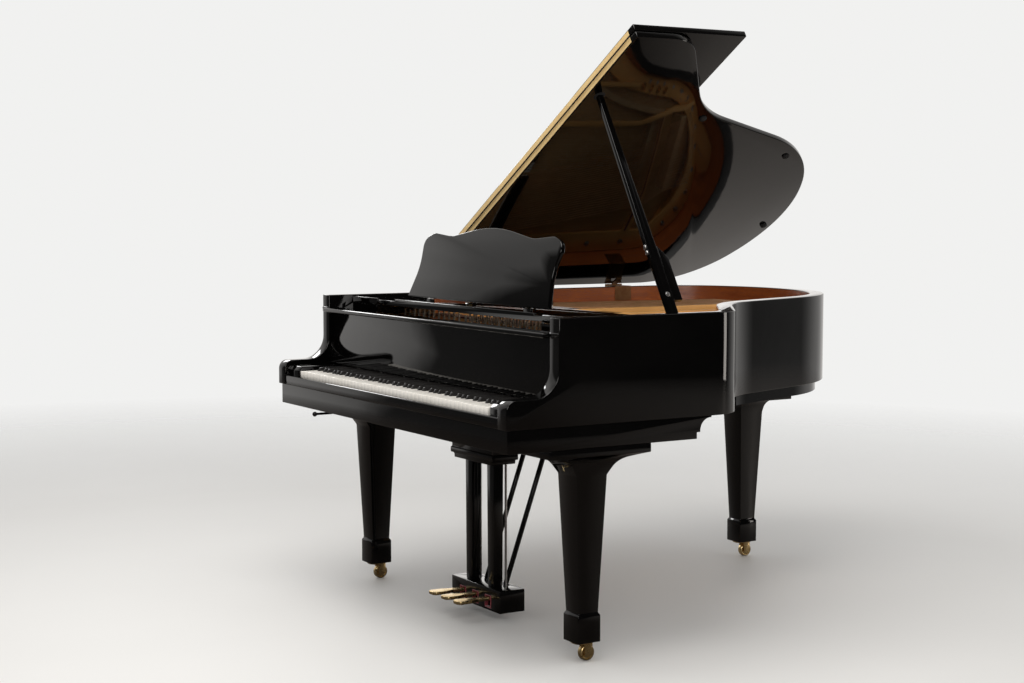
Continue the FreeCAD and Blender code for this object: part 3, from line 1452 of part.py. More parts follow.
def make_props():
    taper = [
        ("-prop_width / 2", "-prop_heel", None),
        ("-prop_width / 2", "prop_taper_start", None),
        ("-prop_tip_width / 2", "prop_length", None),
        ("prop_tip_width / 2", "prop_length", None),
        ("prop_width / 2", "prop_taper_start", None),
        ("prop_width / 2", "-prop_heel", None),
    ]
    stick = slab("YZ_Plane", taper, "-prop_thickness / 2", "prop_thickness")
    bore = rod("prop_pin_radius + fit_clearance", "2 * prop_thickness", ("-prop_thickness", "0", "0"), "X")
    keep(stand_prop(cut(stick, bore)), "long_prop")
    near = "prop_width / 2 + short_prop_gap"
    far = near + " + short_prop_width"
    head = "short_prop_start + short_prop_length"
    side = [
        (near, "short_prop_start", None),
        (near, head, None),
        (far, head + " - short_prop_slant", None),
        (far, "short_prop_start", None),
    ]
    keep(stand_prop(group(slab("YZ_Plane", side, "-prop_thickness / 2", "prop_thickness"))), "short_prop")
    middle = "prop_height + (rim_inside - prop_x) * tan(prop_lean)"
    plate = box(
        ("rim_inside - prop_bracket_wall", "rim_inside"),
        ("prop_y - prop_bracket_width / 2", "prop_y + prop_bracket_width / 2"),
        ("plate_top", middle + " + 2 * prop_pin_radius"),
    )
    reach = "(rim_inside - prop_bracket_wall / 2 - prop_x) / cos(prop_lean)"
    pin = doc.addObject("Part::Cylinder", "Pin")
    bind(pin, {"Radius": "prop_pin_radius", "Height": "prop_thickness / 2 + " + reach})
    start = "prop_thickness / 2"
    spot = ("prop_x - %s * cos(prop_lean)" % start, "prop_y", "prop_height - %s * sin(prop_lean)" % start)
    place(pin, spot, [("Y", "90 - prop_lean")])
    room = box(("0", "rim_inside"), ("0", "case_length"), ("0", "2 * rim_top"))
    keep(common(fuse(plate, pin), room), "prop_bracket")


# Fallboard, music shelf and music desk
def make_fallboard():
    top_lip = "fall_top - fall_lip_height"
    top_front = "fall_front + fall_lean"
    profile = [
        ("fall_front", "fall_bottom", None),
        (top_front, top_lip, None),
        (top_front + " - fall_lip_depth", top_lip, "fall_lip_round"),
        (top_front + " - fall_lip_depth", "fall_top", "fall_lip_round"),
        (top_front + " + fall_thickness", "fall_top", "fall_lip_round"),
        ("fall_front + fall_thickness", "fall_bottom", None),
    ]
    width = "2 * (rim_inside - fall_side_gap)"
    board = slab("YZ_Plane", profile, "-rim_inside + fall_side_gap", width)
    reach = "rim_inside + fall_pin_length - fall_side_gap"
    spot = ("-(%s)" % reach, "fall_pivot_y", "fall_pivot_height")
    pin = rod("fall_pin_radius", "2 * (%s)" % reach, spot, "X")
    keep(fuse(board, pin), "fallboard")


def make_music_stand():
    wing = "rim_inside - shelf_side_gap"
    plan = [
        ("-shelf_half_width", "shelf_front", None),
        ("-shelf_half_width", "shelf_wing_front", None),
        ("-(%s)" % wing, "shelf_wing_front", None),
        ("-(%s)" % wing, "shelf_back", None),
        (wing, "shelf_back", None),
        (wing, "shelf_wing_front", None),
        ("shelf_half_width", "shelf_wing_front", None),
        ("shelf_half_width", "shelf_front", None),
    ]
    board = slab("XY_Plane", plan, "shelf_bottom", "shelf_thickness")
    width = ("-desk_half_foot", "desk_half_foot")
    lip_height = ("shelf_top", "shelf_top + shelf_lip_height")
    pieces = [board, box(width, ("shelf_front", "shelf_front + shelf_lip_depth"), lip_height)]
    edge = ("shelf_wing_front", "shelf_wing_front + shelf_lip_depth")
    for across in (("-(%s)" % wing, "-shelf_half_width"), ("shelf_half_width", wing)):
        pieces.append(box(across, edge, lip_height))
    for side in ("-desk_lug_x", "desk_lug_x"):
        across = ("%s - desk_lug_width / 2" % side, "%s + desk_lug_width / 2" % side)
        along = ("desk_y - desk_lug_thickness / 2", "desk_y + desk_lug_thickness / 2")
        pieces.append(box(across, along, ("shelf_top", "desk_pivot_height - rest_gap")))
    # The feet of the desk's struts stand on two racks
    toe = "strut_pin_y + desk_strut_length * sin(desk_strut_angle)"
    for side in ("-desk_strut_x", "desk_strut_x"):
        across = ("%s - rack_width / 2" % side, "%s + rack_width / 2" % side)
        along = ("%s - rack_depth / 2" % toe, "%s + rack_depth / 2" % toe)
        pieces.append(box(across, along, ("shelf_top", "shelf_top + rack_height")))
    keep(fuse(*pieces), "music_shelf")
    right_side = [
        ("desk_half_foot", "0", None),
        ("desk_half_waist", "desk_waist_height", "desk_waist_round"),
        ("desk_half_shoulder", "desk_shoulder_height", "desk_shoulder_round"),
        ("desk_half_ear", "desk_ear_height", "desk_ear_round"),
        ("desk_half_dip", "desk_dip_height", "desk_dip_round"),
    ]
    left_side = [("-" + across, up, radius) for across, up, radius in reversed(right_side)]
    crown = [("0", "desk_crown_height", "desk_crown_round")]
    desk = slab("XZ_Plane", right_side + crown + left_side, "0", "desk_thickness")
    back, lift = "desk_thickness * cos(desk_lean)", "desk_thickness * sin(desk_lean)"
    spot = ("0", "desk_y - " + back, "desk_pivot_height + " + lift)
    keep(place(desk, spot, [("X", "-desk_lean")]), "music_desk")
    struts = []
    for side in ("-desk_strut_x", "desk_strut_x"):
        bar = box(
            ("-desk_strut_width / 2", "desk_strut_width / 2"),
            ("-desk_strut_thickness / 2", "desk_strut_thickness / 2"),
            ("-desk_strut_length", "desk_strut_thickness / 2"),
        )
        spot = (side, "strut_pin_y", "shelf_top + strut_pin_rise")
        struts.append(place(group(bar), spot, [("X", "desk_strut_angle")]))
    keep(group(*struts), "desk_struts")


def make_lever():
    level = "keybed_bottom - lever_drop"
    post = rod("lever_radius", "2 * lever_drop - rest_gap", ("lever_x", "lever_y", level))
    arm = rod("lever_radius", "lever_length", ("lever_x", "lever_y - lever_length", level), "Y")
    ball = doc.addObject("Part::Sphere", "Ball")
    bind(ball, {"Radius": "lever_ball_radius"})
    place(ball, ("lever_x", "lever_y - lever_length", level))
    keep(fuse(post, arm, ball), "keybed_lever")


def check():
    """Stop if any object failed or any sub-part is not a set of valid closed solids."""
    doc.recompute()
    failed = [thing.Label for thing in doc.Objects if {"Invalid", "Error"} & set(thing.State)]
    if failed:
        raise RuntimeError("failed objects: " + ", ".join(failed))
    for thing in nodes:
        shape = thing.Shape
        if shape.isNull() or not shape.isValid() or not shape.Solids:
            raise RuntimeError("bad shape: " + thing.Label)


def write():
    os.makedirs("parts", exist_ok=True)
    for thing in nodes:
        thing.Shape.exportStep("parts/%s.step" % thing.Label)
    print("wrote", len(nodes), "sub-parts")


make_outer_rim()
make_inner_rim()
make_keybed()
make_key_surround()
make_back_frame()
make_soundboard()
make_bridges()
make_iron_plate()
make_strings()
make_keys()
make_key_frame()
make_hammers()
make_dampers()
make_stands()
make_lyre()
make_pedals()
make_lids()
make_lid_fittings()
make_props()
make_fallboard()
make_music_stand()
make_lever()
check()
write()
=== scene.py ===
# %% [markdown]
# # A grand piano in black lacquer
# The imported model already has every piece in its place, in metres, with the keyboard's front edge
# over the origin and the tail along +Y. This lesson dresses it: rounded edges that catch the
# light, finishes built from nodes, and the small fittings that make a case of wood look like an
# instrument. The model is loaded first. The dressed piano must not outgrow it.

# %% Load the imported model
import json
import math
import bmesh
import bpy
from mathutils import Matrix, Vector


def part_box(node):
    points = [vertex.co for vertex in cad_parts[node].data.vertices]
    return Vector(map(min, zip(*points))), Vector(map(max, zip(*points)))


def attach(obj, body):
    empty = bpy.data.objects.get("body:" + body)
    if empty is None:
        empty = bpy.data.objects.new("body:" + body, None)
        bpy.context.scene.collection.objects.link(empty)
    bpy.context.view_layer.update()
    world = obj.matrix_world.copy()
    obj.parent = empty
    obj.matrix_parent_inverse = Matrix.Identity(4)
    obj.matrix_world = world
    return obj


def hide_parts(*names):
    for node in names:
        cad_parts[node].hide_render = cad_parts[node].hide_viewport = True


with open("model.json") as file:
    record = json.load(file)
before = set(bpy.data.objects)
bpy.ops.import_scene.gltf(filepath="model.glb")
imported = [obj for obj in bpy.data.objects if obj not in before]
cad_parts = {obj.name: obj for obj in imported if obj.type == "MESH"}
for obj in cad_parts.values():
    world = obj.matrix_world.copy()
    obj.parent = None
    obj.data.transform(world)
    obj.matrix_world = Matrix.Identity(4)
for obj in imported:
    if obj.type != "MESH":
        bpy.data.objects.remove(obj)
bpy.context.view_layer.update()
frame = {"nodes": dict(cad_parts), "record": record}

body_of_node = {}
for body, nodes in frame["record"]["behaviour"]["bodies"].items():
    body_of_node.update((node, body) for node in nodes)
slot_of_node = {part["node"]: part["material_slot"] for part in frame["record"]["subparts"]}

# %% [markdown]
# ## Camera
# The photograph was taken from the treble side, a little above the rim. Its station was worked
# out from the keyboard's known width, so the camera is set by that station and two turns, and
# nothing is fitted by eye.

# %% Set the camera
camera = bpy.data.objects.new("photo_camera", bpy.data.cameras.new("photo_camera"))
camera.data.lens = 61.17
camera.data.sensor_width = 36.0
camera.data.clip_end = 200.0
camera.location = (4.6707, -2.3687, 1.2854)
camera.rotation_euler = (math.radians(90.0 - 4.49), 0.0, math.radians(58.71))
bpy.context.scene.collection.objects.link(camera)
bpy.context.scene.camera = camera
bpy.context.scene.view_settings.view_transform = "Standard"
print("camera at", tuple(camera.location))

# %% [markdown]
# ## Nodes by name
# A finish is a small tree of nodes. Building trees by hand in code is wordy, so helpers do it:
# one places a node and fills some of its sockets, one makes an empty node group with named
# sockets, and the others place the kinds of node that come up most. A group is a part of a tree
# that several materials share, each with its own values.

# %% Helpers for node trees
def feed(tree, socket, value):
    """Link a socket to another node's output, or give it a plain value."""
    if isinstance(value, bpy.types.NodeSocket):
        tree.links.new(value, socket)
    else:
        socket.default_value = value


def node(tree, kind, sockets=None, **settings):
    """A node of that kind; sockets feeds its inputs, settings sets its own options."""
    made = tree.nodes.new("ShaderNode" + kind)
    for name, value in settings.items():
        setattr(made, name, value)
    for name, value in (sockets or {}).items():
        feed(tree, made.inputs[name], value)
    return made


def effect(name, inputs, outputs):
    """An empty node group with its sockets; gives the group, its input node and its output node."""
    group = bpy.data.node_groups.new(name, "ShaderNodeTree")
    for label, kind, value in inputs:
        socket = group.interface.new_socket(
            name=label, in_out="INPUT", socket_type="NodeSocket" + kind)
        if value is not None:
            socket.default_value = value
    for label, kind in outputs:
        group.interface.new_socket(name=label, in_out="OUTPUT", socket_type="NodeSocket" + kind)
    return group, group.nodes.new("NodeGroupInput"), group.nodes.new("NodeGroupOutput")


def spread(tree, value, low, high, to_low, to_high):
    """Map a value from one range to another, held at both ends."""
    sockets = {
        "Value": value, "From Min": low, "From Max": high, "To Min": to_low, "To Max": to_high,
    }
    return node(tree, "MapRange", sockets).outputs["Result"]


def noise(tree, vector, scale, detail=3.0, rough=0.5):
    """A cloudy value from 0 to 1."""
    sockets = {"Vector": vector, "Scale": scale, "Detail": detail, "Roughness": rough}
    return node(tree, "TexNoise", sockets).outputs["Fac"]


def blend_colour(tree, share, first, second):
    """A colour between two, by a share from 0 to 1."""
    mixed = node(tree, "Mix", data_type="RGBA")
    # A Mix node has sockets for every kind of data. These are the ones of a colour.
    share_input, first_input, second_input, colour_output = 0, 6, 7, 2
    for place, value in ((share_input, share), (first_input, first), (second_input, second)):
        feed(tree, mixed.inputs[place], value)
    return mixed.outputs[colour_output]


print("node helpers ready")

# %% [markdown]
# ## Five effects
# Polished lacquer is never quite even: rubbing leaves faint clouds of haze and a shallow ripple.
# Wood shows long streaks and fine pores. Metal tarnishes in patches and carries hairline
# scratches. A sand casting keeps a grainy skin under its paint. Felt is a mat of fibres. Each
# could be painted as a picture, but noise in object space needs no unwrapping and stays sharp at
# any distance, so each becomes one node group.

# %% Build the shared effects
group, given, result = effect(
    "polish_haze",
    [("Vector", "Vector", None), ("Clear", "Float", 0.03), ("Hazy", "Float", 0.09)],
    [("Haze", "Float"), ("Roughness", "Float"), ("Ripple", "Float")],
)
cloud = noise(group, given.outputs["Vector"], 2.6, 5.0, 0.6)
haze = spread(group, cloud, 0.38, 0.68, 0.0, 1.0)
rough = spread(group, haze, 0.0, 1.0, given.outputs["Clear"], given.outputs["Hazy"])
group.links.new(haze, result.inputs["Haze"])
group.links.new(rough, result.inputs["Roughness"])
group.links.new(noise(group, given.outputs["Vector"], 11.0, 1.0), result.inputs["Ripple"])
polish_haze = group

group, given, result = effect(
    "wood_grain",
    [("Vector", "Vector", None), ("Light", "Color", None), ("Dark", "Color", None),
     ("Pores", "Float", 9.0)],
    [("Color", "Color"), ("Streak", "Float"), ("Height", "Float")],
)
wide = noise(group, given.outputs["Vector"], 1.0, 4.0, 0.6)
fine = noise(group, given.outputs["Vector"], given.outputs["Pores"], 3.0, 0.7)
both = node(group, "Math", {0: wide, 1: fine}, operation="MULTIPLY").outputs[0]
streak = spread(group, both, 0.14, 0.38, 0.0, 1.0)
color = blend_colour(group, streak, given.outputs["Dark"], given.outputs["Light"])
group.links.new(color, result.inputs["Color"])
group.links.new(streak, result.inputs["Streak"])
group.links.new(fine, result.inputs["Height"])
wood_grain = group

group, given, result = effect(
    "metal_patina",
    [("Vector", "Vector", None), ("Bright", "Color", None), ("Dull", "Color", None),
     ("Smooth", "Float", 0.18), ("Worn", "Float", 0.4)],
    [("Color", "Color"), ("Roughness", "Float"), ("Height", "Float")],
)
patch = spread(group, noise(group, given.outputs["Vector"], 17.0, 6.0, 0.65), 0.36, 0.66, 0.0, 1.0)
color = blend_colour(group, patch, given.outputs["Bright"], given.outputs["Dull"])
rough = spread(group, patch, 0.0, 1.0, given.outputs["Smooth"], given.outputs["Worn"])
group.links.new(color, result.inputs["Color"])
group.links.new(rough, result.inputs["Roughness"])
group.links.new(noise(group, given.outputs["Vector"], 420.0, 2.0), result.inputs["Height"])
metal_patina = group

group, given, result = effect(
    "casting_skin",
    [("Vector", "Vector", None)],
    [("Cloud", "Float"), ("Grit", "Float")],
)
cloud = spread(group, noise(group, given.outputs["Vector"], 7.0, 5.0, 0.6), 0.3, 0.7, 0.0, 1.0)
group.links.new(cloud, result.inputs["Cloud"])
group.links.new(noise(group, given.outputs["Vector"], 520.0, 3.0, 0.6), result.inputs["Grit"])
casting_skin = group

group, given, result = effect(
    "felt_fibre",
    [("Vector", "Vector", None)],
    [("Fluff", "Float"), ("Fibre", "Float")],
)
fluff = spread(group, noise(group, given.outputs["Vector"], 90.0, 4.0, 0.7), 0.3, 0.7, 0.0, 1.0)
group.links.new(fluff, result.inputs["Fluff"])
group.links.new(noise(group, given.outputs["Vector"], 1400.0, 2.0, 0.7), result.inputs["Fibre"])
felt_fibre = group
print("effects:", [tree.name for tree in bpy.data.node_groups])

# %% [markdown]
# ## Finishes
# Every finish starts the same way: a Principled shader, the object's own coordinates, and a bump
# that the effect drives. The coordinates may be stretched first, which is how the same noise
# becomes grain that runs along a board.

# %% Helpers for finishes
def finish(name, stretch=(1.0, 1.0, 1.0), turn=0.0, **constants):
    """A material with its Principled shader and object coordinates, stretched and turned."""
    made = bpy.data.materials.new(name)
    made.use_nodes = True
    tree = made.node_tree
    shader = tree.nodes["Principled BSDF"]
    for label, value in constants.items():
        shader.inputs[label.replace("_", " ")].default_value = value
    place = node(tree, "TexCoord").outputs["Object"]
    sockets = {"Vector": place, "Scale": stretch, "Rotation": (0.0, 0.0, turn)}
    return made, tree, shader, node(tree, "Mapping", sockets).outputs["Vector"]


def use(tree, group, sockets):
    """A copy of a shared effect in a material."""
    placed = tree.nodes.new("ShaderNodeGroup")
    placed.node_tree = group
    for label, value in sockets.items():
        feed(tree, placed.inputs[label], value)
    return placed.outputs


def raise_bump(tree, shader, height, strength, distance):
    """Let a height bend the shader's normals."""
    sockets = {"Height": height, "Strength": strength, "Distance": distance}
    tree.links.new(node(tree, "Bump", sockets).outputs["Normal"], shader.inputs["Normal"])


def rgb(red, green, blue):
    return (red, green, blue, 1.0)


print("finish helpers ready")

# %% [markdown]
# ## Lacquer, wood, metal, felt
# The case is polyester lacquer, so black that nearly all one sees of it is reflection: the colour
# stays close to zero and the haze works on the roughness. Woods share one recipe with other
# colours and another direction of grain. Brass, steel and copper share another. The plate is iron
# under bronze paint, so it is only partly metallic.

# %% Make the lacquer
lacquer, tree, shader, place = finish("black_lacquer")
haze = use(tree, polish_haze, {"Vector": place, "Clear": 0.035, "Hazy": 0.075})
tint = blend_colour(tree, haze["Haze"], rgb(0.0010, 0.0009, 0.0009), rgb(0.0022, 0.0020, 0.0019))
tree.links.new(tint, shader.inputs["Base Color"])
tree.links.new(haze["Roughness"], shader.inputs["Roughness"])
raise_bump(tree, shader, haze["Ripple"], 0.05, 0.004)
print("made", lacquer.name)


# %% Make the woods
def wood(name, light, dark, stretch, rough, turn=0.0):
    """A varnished or bare wood; the grain runs where the stretch is smallest."""
    made, tree, shader, place = finish(name, stretch, turn, Specular_IOR_Level=0.3)
    grain = use(tree, wood_grain, {"Vector": place, "Light": light, "Dark": dark})
    tree.links.new(grain["Color"], shader.inputs["Base Color"])
    smooth, worn = rough
    roughness = spread(tree, grain["Streak"], 0.0, 1.0, worn, smooth)
    tree.links.new(roughness, shader.inputs["Roughness"])
    raise_bump(tree, shader, grain["Height"], 0.12, 0.0006)
    return made


grain_turn = 0.6
veneer = wood("red_brown_veneer", rgb(0.52, 0.150, 0.042), rgb(0.290, 0.068, 0.018),
              (5.0, 5.0, 60.0), (0.2, 0.34))
spruce = wood("spruce_board", rgb(0.72, 0.47, 0.21), rgb(0.52, 0.29, 0.11),
              (120.0, 5.0, 60.0), (0.28, 0.4), grain_turn)
maple = wood("maple", rgb(0.66, 0.45, 0.24), rgb(0.50, 0.31, 0.14),
             (40.0, 7.0, 40.0), (0.35, 0.5))
frame_wood = wood("frame_wood", rgb(0.46, 0.29, 0.145), rgb(0.29, 0.16, 0.07),
                  (50.0, 7.0, 50.0), (0.45, 0.65))
ebony = wood("ebony", rgb(0.016, 0.015, 0.014), rgb(0.008, 0.007, 0.007),
             (300.0, 20.0, 300.0), (0.22, 0.38))
print("made", [made.name for made in (veneer, spruce, maple, frame_wood, ebony)])


# %% Make the metals
def metal(name, bright, dull, smooth, worn, metallic=1.0):
    """A metal between two colours, from its rubbed to its tarnished spots."""
    made, tree, shader, place = finish(name, Metallic=metallic)
    sockets = {"Vector": place, "Bright": bright, "Dull": dull, "Smooth": smooth, "Worn": worn}
    patina = use(tree, metal_patina, sockets)
    tree.links.new(patina["Color"], shader.inputs["Base Color"])
    tree.links.new(patina["Roughness"], shader.inputs["Roughness"])
    raise_bump(tree, shader, patina["Height"], 0.08, 0.0003)
    return made


brass = metal("polished_brass", rgb(0.84, 0.65, 0.34), rgb(0.70, 0.51, 0.24), 0.18, 0.34)
# A lighter, less metallic copy of the brass for the hinges, so that they read bright where polished
# brass would mirror the dark front: partly the hinge's own colour, partly painted light.
brightened_hinge_brass = metal("brightened_hinge_brass", rgb(1.0, 0.72, 0.34), rgb(0.88, 0.60, 0.26), 0.24, 0.40, 0.35)
bronze = metal("aged_bronze", rgb(0.38, 0.215, 0.105), rgb(0.25, 0.13, 0.062), 0.30, 0.46)
steel = metal("string_steel", rgb(0.78, 0.75, 0.71), rgb(0.58, 0.55, 0.51), 0.22, 0.38, 0.7)
satin_steel = metal("satin_steel", rgb(0.66, 0.65, 0.64), rgb(0.48, 0.47, 0.46), 0.26, 0.42)
copper = metal("copper_winding", rgb(0.90, 0.50, 0.26), rgb(0.64, 0.32, 0.15), 0.28, 0.46, 0.5)
tree = copper.node_tree
place = next(step for step in tree.nodes if step.type == "MAPPING").outputs["Vector"]
turns = node(tree, "TexWave", {"Vector": place, "Scale": 190.0}, bands_direction="Y")
bump = next(step for step in tree.nodes if step.type == "BUMP")
tree.links.new(turns.outputs["Fac"], bump.inputs["Height"])
bump.inputs["Strength"].default_value = 0.35
print("made", [made.name for made in (brass, brightened_hinge_brass, bronze, steel, satin_steel, copper)])

# %% Make the painted iron
gold_iron, tree, shader, place = finish("bronzed_iron", Metallic=0.25)
skin = use(tree, casting_skin, {"Vector": place})
tint = blend_colour(tree, skin["Cloud"], rgb(0.98, 0.535, 0.180), rgb(0.86, 0.445, 0.135))
tree.links.new(tint, shader.inputs["Base Color"])
tree.links.new(spread(tree, skin["Grit"], 0.3, 0.7, 0.30, 0.44), shader.inputs["Roughness"])
raise_bump(tree, shader, skin["Grit"], 0.22, 0.0006)
print("made", gold_iron.name)


# %% Make the felts and the soft bumper
def felt(name, deep, pale, sheen=0.35):
    """A matted, soft surface; without sheen it passes for rubber."""
    made, tree, shader, place = finish(name, Sheen_Weight=sheen)
    fibre = use(tree, felt_fibre, {"Vector": place})
    tree.links.new(blend_colour(tree, fibre["Fluff"], deep, pale), shader.inputs["Base Color"])
    tree.links.new(spread(tree, fibre["Fibre"], 0.3, 0.7, 0.85, 1.0), shader.inputs["Roughness"])
    raise_bump(tree, shader, fibre["Fibre"], 0.5, 0.0008)
    return made


burgundy_felt = felt("burgundy_felt", rgb(0.16, 0.012, 0.022), rgb(0.26, 0.028, 0.04))
white_felt = felt("white_felt", rgb(0.66, 0.63, 0.56), rgb(0.78, 0.75, 0.69))
rubber = felt("dark_rubber", rgb(0.006, 0.006, 0.006), rgb(0.014, 0.013, 0.013), 0.0)
print("made", [made.name for made in (burgundy_felt, white_felt, rubber)])

# %% Make the key tops
ivory, tree, shader, place = finish("ivory_key", (1.0, 0.25, 1.0))
haze = use(tree, polish_haze, {"Vector": place, "Clear": 0.14, "Hazy": 0.26})
tint = blend_colour(tree, haze["Haze"], rgb(0.88, 0.845, 0.785), rgb(0.82, 0.775, 0.70))
tree.links.new(tint, shader.inputs["Base Color"])
tree.links.new(haze["Roughness"], shader.inputs["Roughness"])
raise_bump(tree, shader, haze["Ripple"], 0.03, 0.001)
print("made", ivory.name)

# %% [markdown]
# ## Pieces
# A new piece is drawn as a bmesh, turned into an object that stays at the origin, and tied to the
# body that carries it. Most of the case only needs its sharp edges rounded: a computer edge is a
# knife, a real one is rubbed smooth and holds a thin line of light. A copy of the node is merged,
# its flat faces are joined, its sharp edges are bevelled, and the copy takes the node's place.

# %% Helpers for pieces
def put(name, shape, coat, body, crease=35.0):
    """Turn a bmesh into a piece that rides on a body; coat is one material or several."""
    mesh = bpy.data.meshes.new(name)
    shape.normal_update()
    shape.to_mesh(mesh)
    shape.free()
    for material in coat if isinstance(coat, (list, tuple)) else [coat]:
        mesh.materials.append(material)
    mesh.polygons.foreach_set("use_smooth", [True] * len(mesh.polygons))
    mesh.set_sharp_from_angle(angle=math.radians(crease))
    piece = bpy.data.objects.new(name, mesh)
    bpy.context.scene.collection.objects.link(piece)
    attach(piece, body)
    return piece


def copied(name):
    """A merged copy of a CAD node's mesh with its flat faces joined."""
    shape = bmesh.new()
    shape.from_mesh(frame["nodes"][name].data)
    bmesh.ops.remove_doubles(shape, verts=shape.verts, dist=0.00002)
    bmesh.ops.dissolve_limit(shape, angle_limit=math.radians(0.6), verts=shape.verts,
                             edges=shape.edges)
    return shape


def round_edges(shape, width, segments=2, angle=32.0):
    """Bevel the edges that bend more than an angle."""
    sharp = [edge for edge in shape.edges if edge.is_manifold]
    sharp = [edge for edge in sharp if edge.calc_face_angle(0.0) > math.radians(angle)]
    bmesh.ops.bevel(shape, geom=sharp, offset=width, offset_type="OFFSET", segments=segments,
                    profile=0.5, affect="EDGES", clamp_overlap=False, material=-1)


def softened(name, coat, width, segments=2, angle=32.0):
    """A copy of a CAD node with rounded edges, in the node's place."""
    shape = copied(name)
    round_edges(shape, width, segments, angle)
    piece = put(name + "_finished", shape, coat, body_of_node[name])
    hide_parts(name)


def coated(coat, *names):
    """Keep the CAD nodes as they are and give them a finish."""
    for name in names:
        for place in frame["nodes"][name].material_slots:
            place.link = "OBJECT"
            place.material = coat


def lathe(profile, steps=16):
    """A turned piece about the upright from a profile of (radius, height)."""
    shape = bmesh.new()
    points = [shape.verts.new((radius, 0.0, height)) for radius, height in profile]
    edges = [shape.edges.new(pair) for pair in zip(points, points[1:])]
    bmesh.ops.spin(shape, geom=points + edges, cent=(0, 0, 0), axis=(0, 0, 1), angle=math.tau,
                   steps=steps, use_merge=True)
    bmesh.ops.remove_doubles(shape, verts=shape.verts, dist=0.000001)
    bmesh.ops.recalc_face_normals(shape, faces=shape.faces)
    return shape


def bar(low, high, width=0.0, segments=2):
    """A bar between two corners with rounded edges."""
    shape = bmesh.new()
    bmesh.ops.create_cube(shape, size=1.0)
    size = Vector(high) - Vector(low)
    middle = (Vector(high) + Vector(low)) / 2
    bmesh.ops.scale(shape, vec=size, verts=shape.verts)
    bmesh.ops.translate(shape, vec=middle, verts=shape.verts)
    if width:
        bmesh.ops.bevel(shape, geom=shape.edges[:], offset=width, offset_type="OFFSET",
                        segments=segments, profile=0.5, affect="EDGES", material=-1)
    return shape


def add(whole, part, place=None):
    """Copy a part into a larger shape at a place; the part itself is kept."""
    spare = bpy.data.meshes.new("spare")
    part.to_mesh(spare)
    first = len(whole.verts)
    whole.from_mesh(spare)
    bpy.data.meshes.remove(spare)
    whole.verts.ensure_lookup_table()
    if place is not None:
        bmesh.ops.transform(whole, matrix=place, verts=whole.verts[first:])


def facing(spot, direction):
    """The place of a turned piece whose own upright points along a direction."""
    turn = Vector((0, 0, 1)).rotation_difference(Vector(direction)).to_matrix().to_4x4()
    return Matrix.Translation(Vector(spot)) @ turn


print("piece helpers ready")

# %% [markdown]
# ## The case
# The rim, the keybed and the blocks beside the keys are one lacquered body. The rim's inner face
# above the plate is not black but veneered, which is what glows red-brown under the open lid. The
# rim is cut across where the veneer starts, and the faces that look inwards behind that line take
# the second finish. The inner rim is bare wood, except for its foot under the case, which is
# lacquered.

# %% Round the case and veneer its inside
veneer_start = 0.568
foot_top = 0.6855
heart = Vector((-0.2, 0.9, 0.0))
shape = copied("outer_rim")
bmesh.ops.bisect_plane(shape, geom=shape.verts[:] + shape.edges[:] + shape.faces[:], dist=0.00001,
                       plane_co=(0, veneer_start, 0), plane_no=(0, 1, 0))
round_edges(shape, 0.0022, 3)
inner_faces = 0
for face in shape.faces:
    middle = face.calc_center_median()
    towards = heart - middle
    towards.z = 0.0
    upright = abs(face.normal.z) < 0.25
    if middle.y > veneer_start + 0.0001 and upright and face.normal.dot(towards) > 0.0:
        face.material_index = 1
        inner_faces += 1
rim = put("outer_rim_finished", shape, [lacquer, veneer], "case")
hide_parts("outer_rim")
for name, width in (("keybed", 0.002), ("key_slip", 0.004), ("key_blocks", 0.003),
                    ("name_rail", 0.001)):
    softened(name, lacquer, width, 3)
shape = copied("inner_rim")
for face in shape.faces:
    face.material_index = 1 if face.calc_center_median().z < foot_top else 0
rim = put("inner_rim_finished", shape, [frame_wood, lacquer], "case")
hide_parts("inner_rim")
print("veneered faces:", inner_faces)

# %% [markdown]
# ## The front of the arms
# A narrow moulding crosses the front of each arm just under the rim's top. It could be cut into
# the rim, but two separate beads, a thin one under a thick one, are how a joiner does it.

# %% Set the arm beads
arm_inside, arm_outside, bead_back = 0.6985, 0.7435, 0.1680
shape = bmesh.new()
for side in (-1, 1):
    low, high = sorted((side * arm_inside, side * arm_outside))
    add(shape, bar((low, 0.1635, 0.9245), (high, bead_back, 0.9295), 0.0012))
    add(shape, bar((low, 0.1625, 0.9300), (high, bead_back, 0.9400), 0.0028, 3))
put("arm_beads", shape, lacquer, "case")
print("arm beads set")

# %% [markdown]
# ## A first coat for everything
# The record names a material slot for each node. One table from slot to finish coats every node
# at once, and the few whose finish isn't their slot's are coated after it. The pieces that
# deserve more get it below.

# %% Coat every node by its slot
finish_of_slot = {
    "case_lacquer": lacquer, "inner_veneer": veneer, "frame_wood": frame_wood, "spruce": spruce,
    "bridge_maple": maple, "gold_iron": gold_iron, "string_steel": steel, "bass_copper": copper,
    "white_key": ivory, "black_key": ebony, "hammer_felt": white_felt, "damper_black": lacquer,
    "brass": brass, "rod_steel": satin_steel,
}
for name, slot in slot_of_node.items():
    coated(finish_of_slot[slot], name)
coated(lacquer, "keybed_lever")
coated(bronze, "hinge_rim_leaves", "hinge_lid_leaves")
coated(brightened_hinge_brass, "flap_hinge_front_leaf")
print("coated", len(slot_of_node), "nodes")

# %% [markdown]
# ## The iron plate
# The plate is one casting that carries the pull of all the strings. Round ports lighten it along
# the bent side, each with a raised lip, and bolts hold its flange to the rim. A port's lip and a
# bolt are turned shapes, so a profile is spun once and copied to each spot.

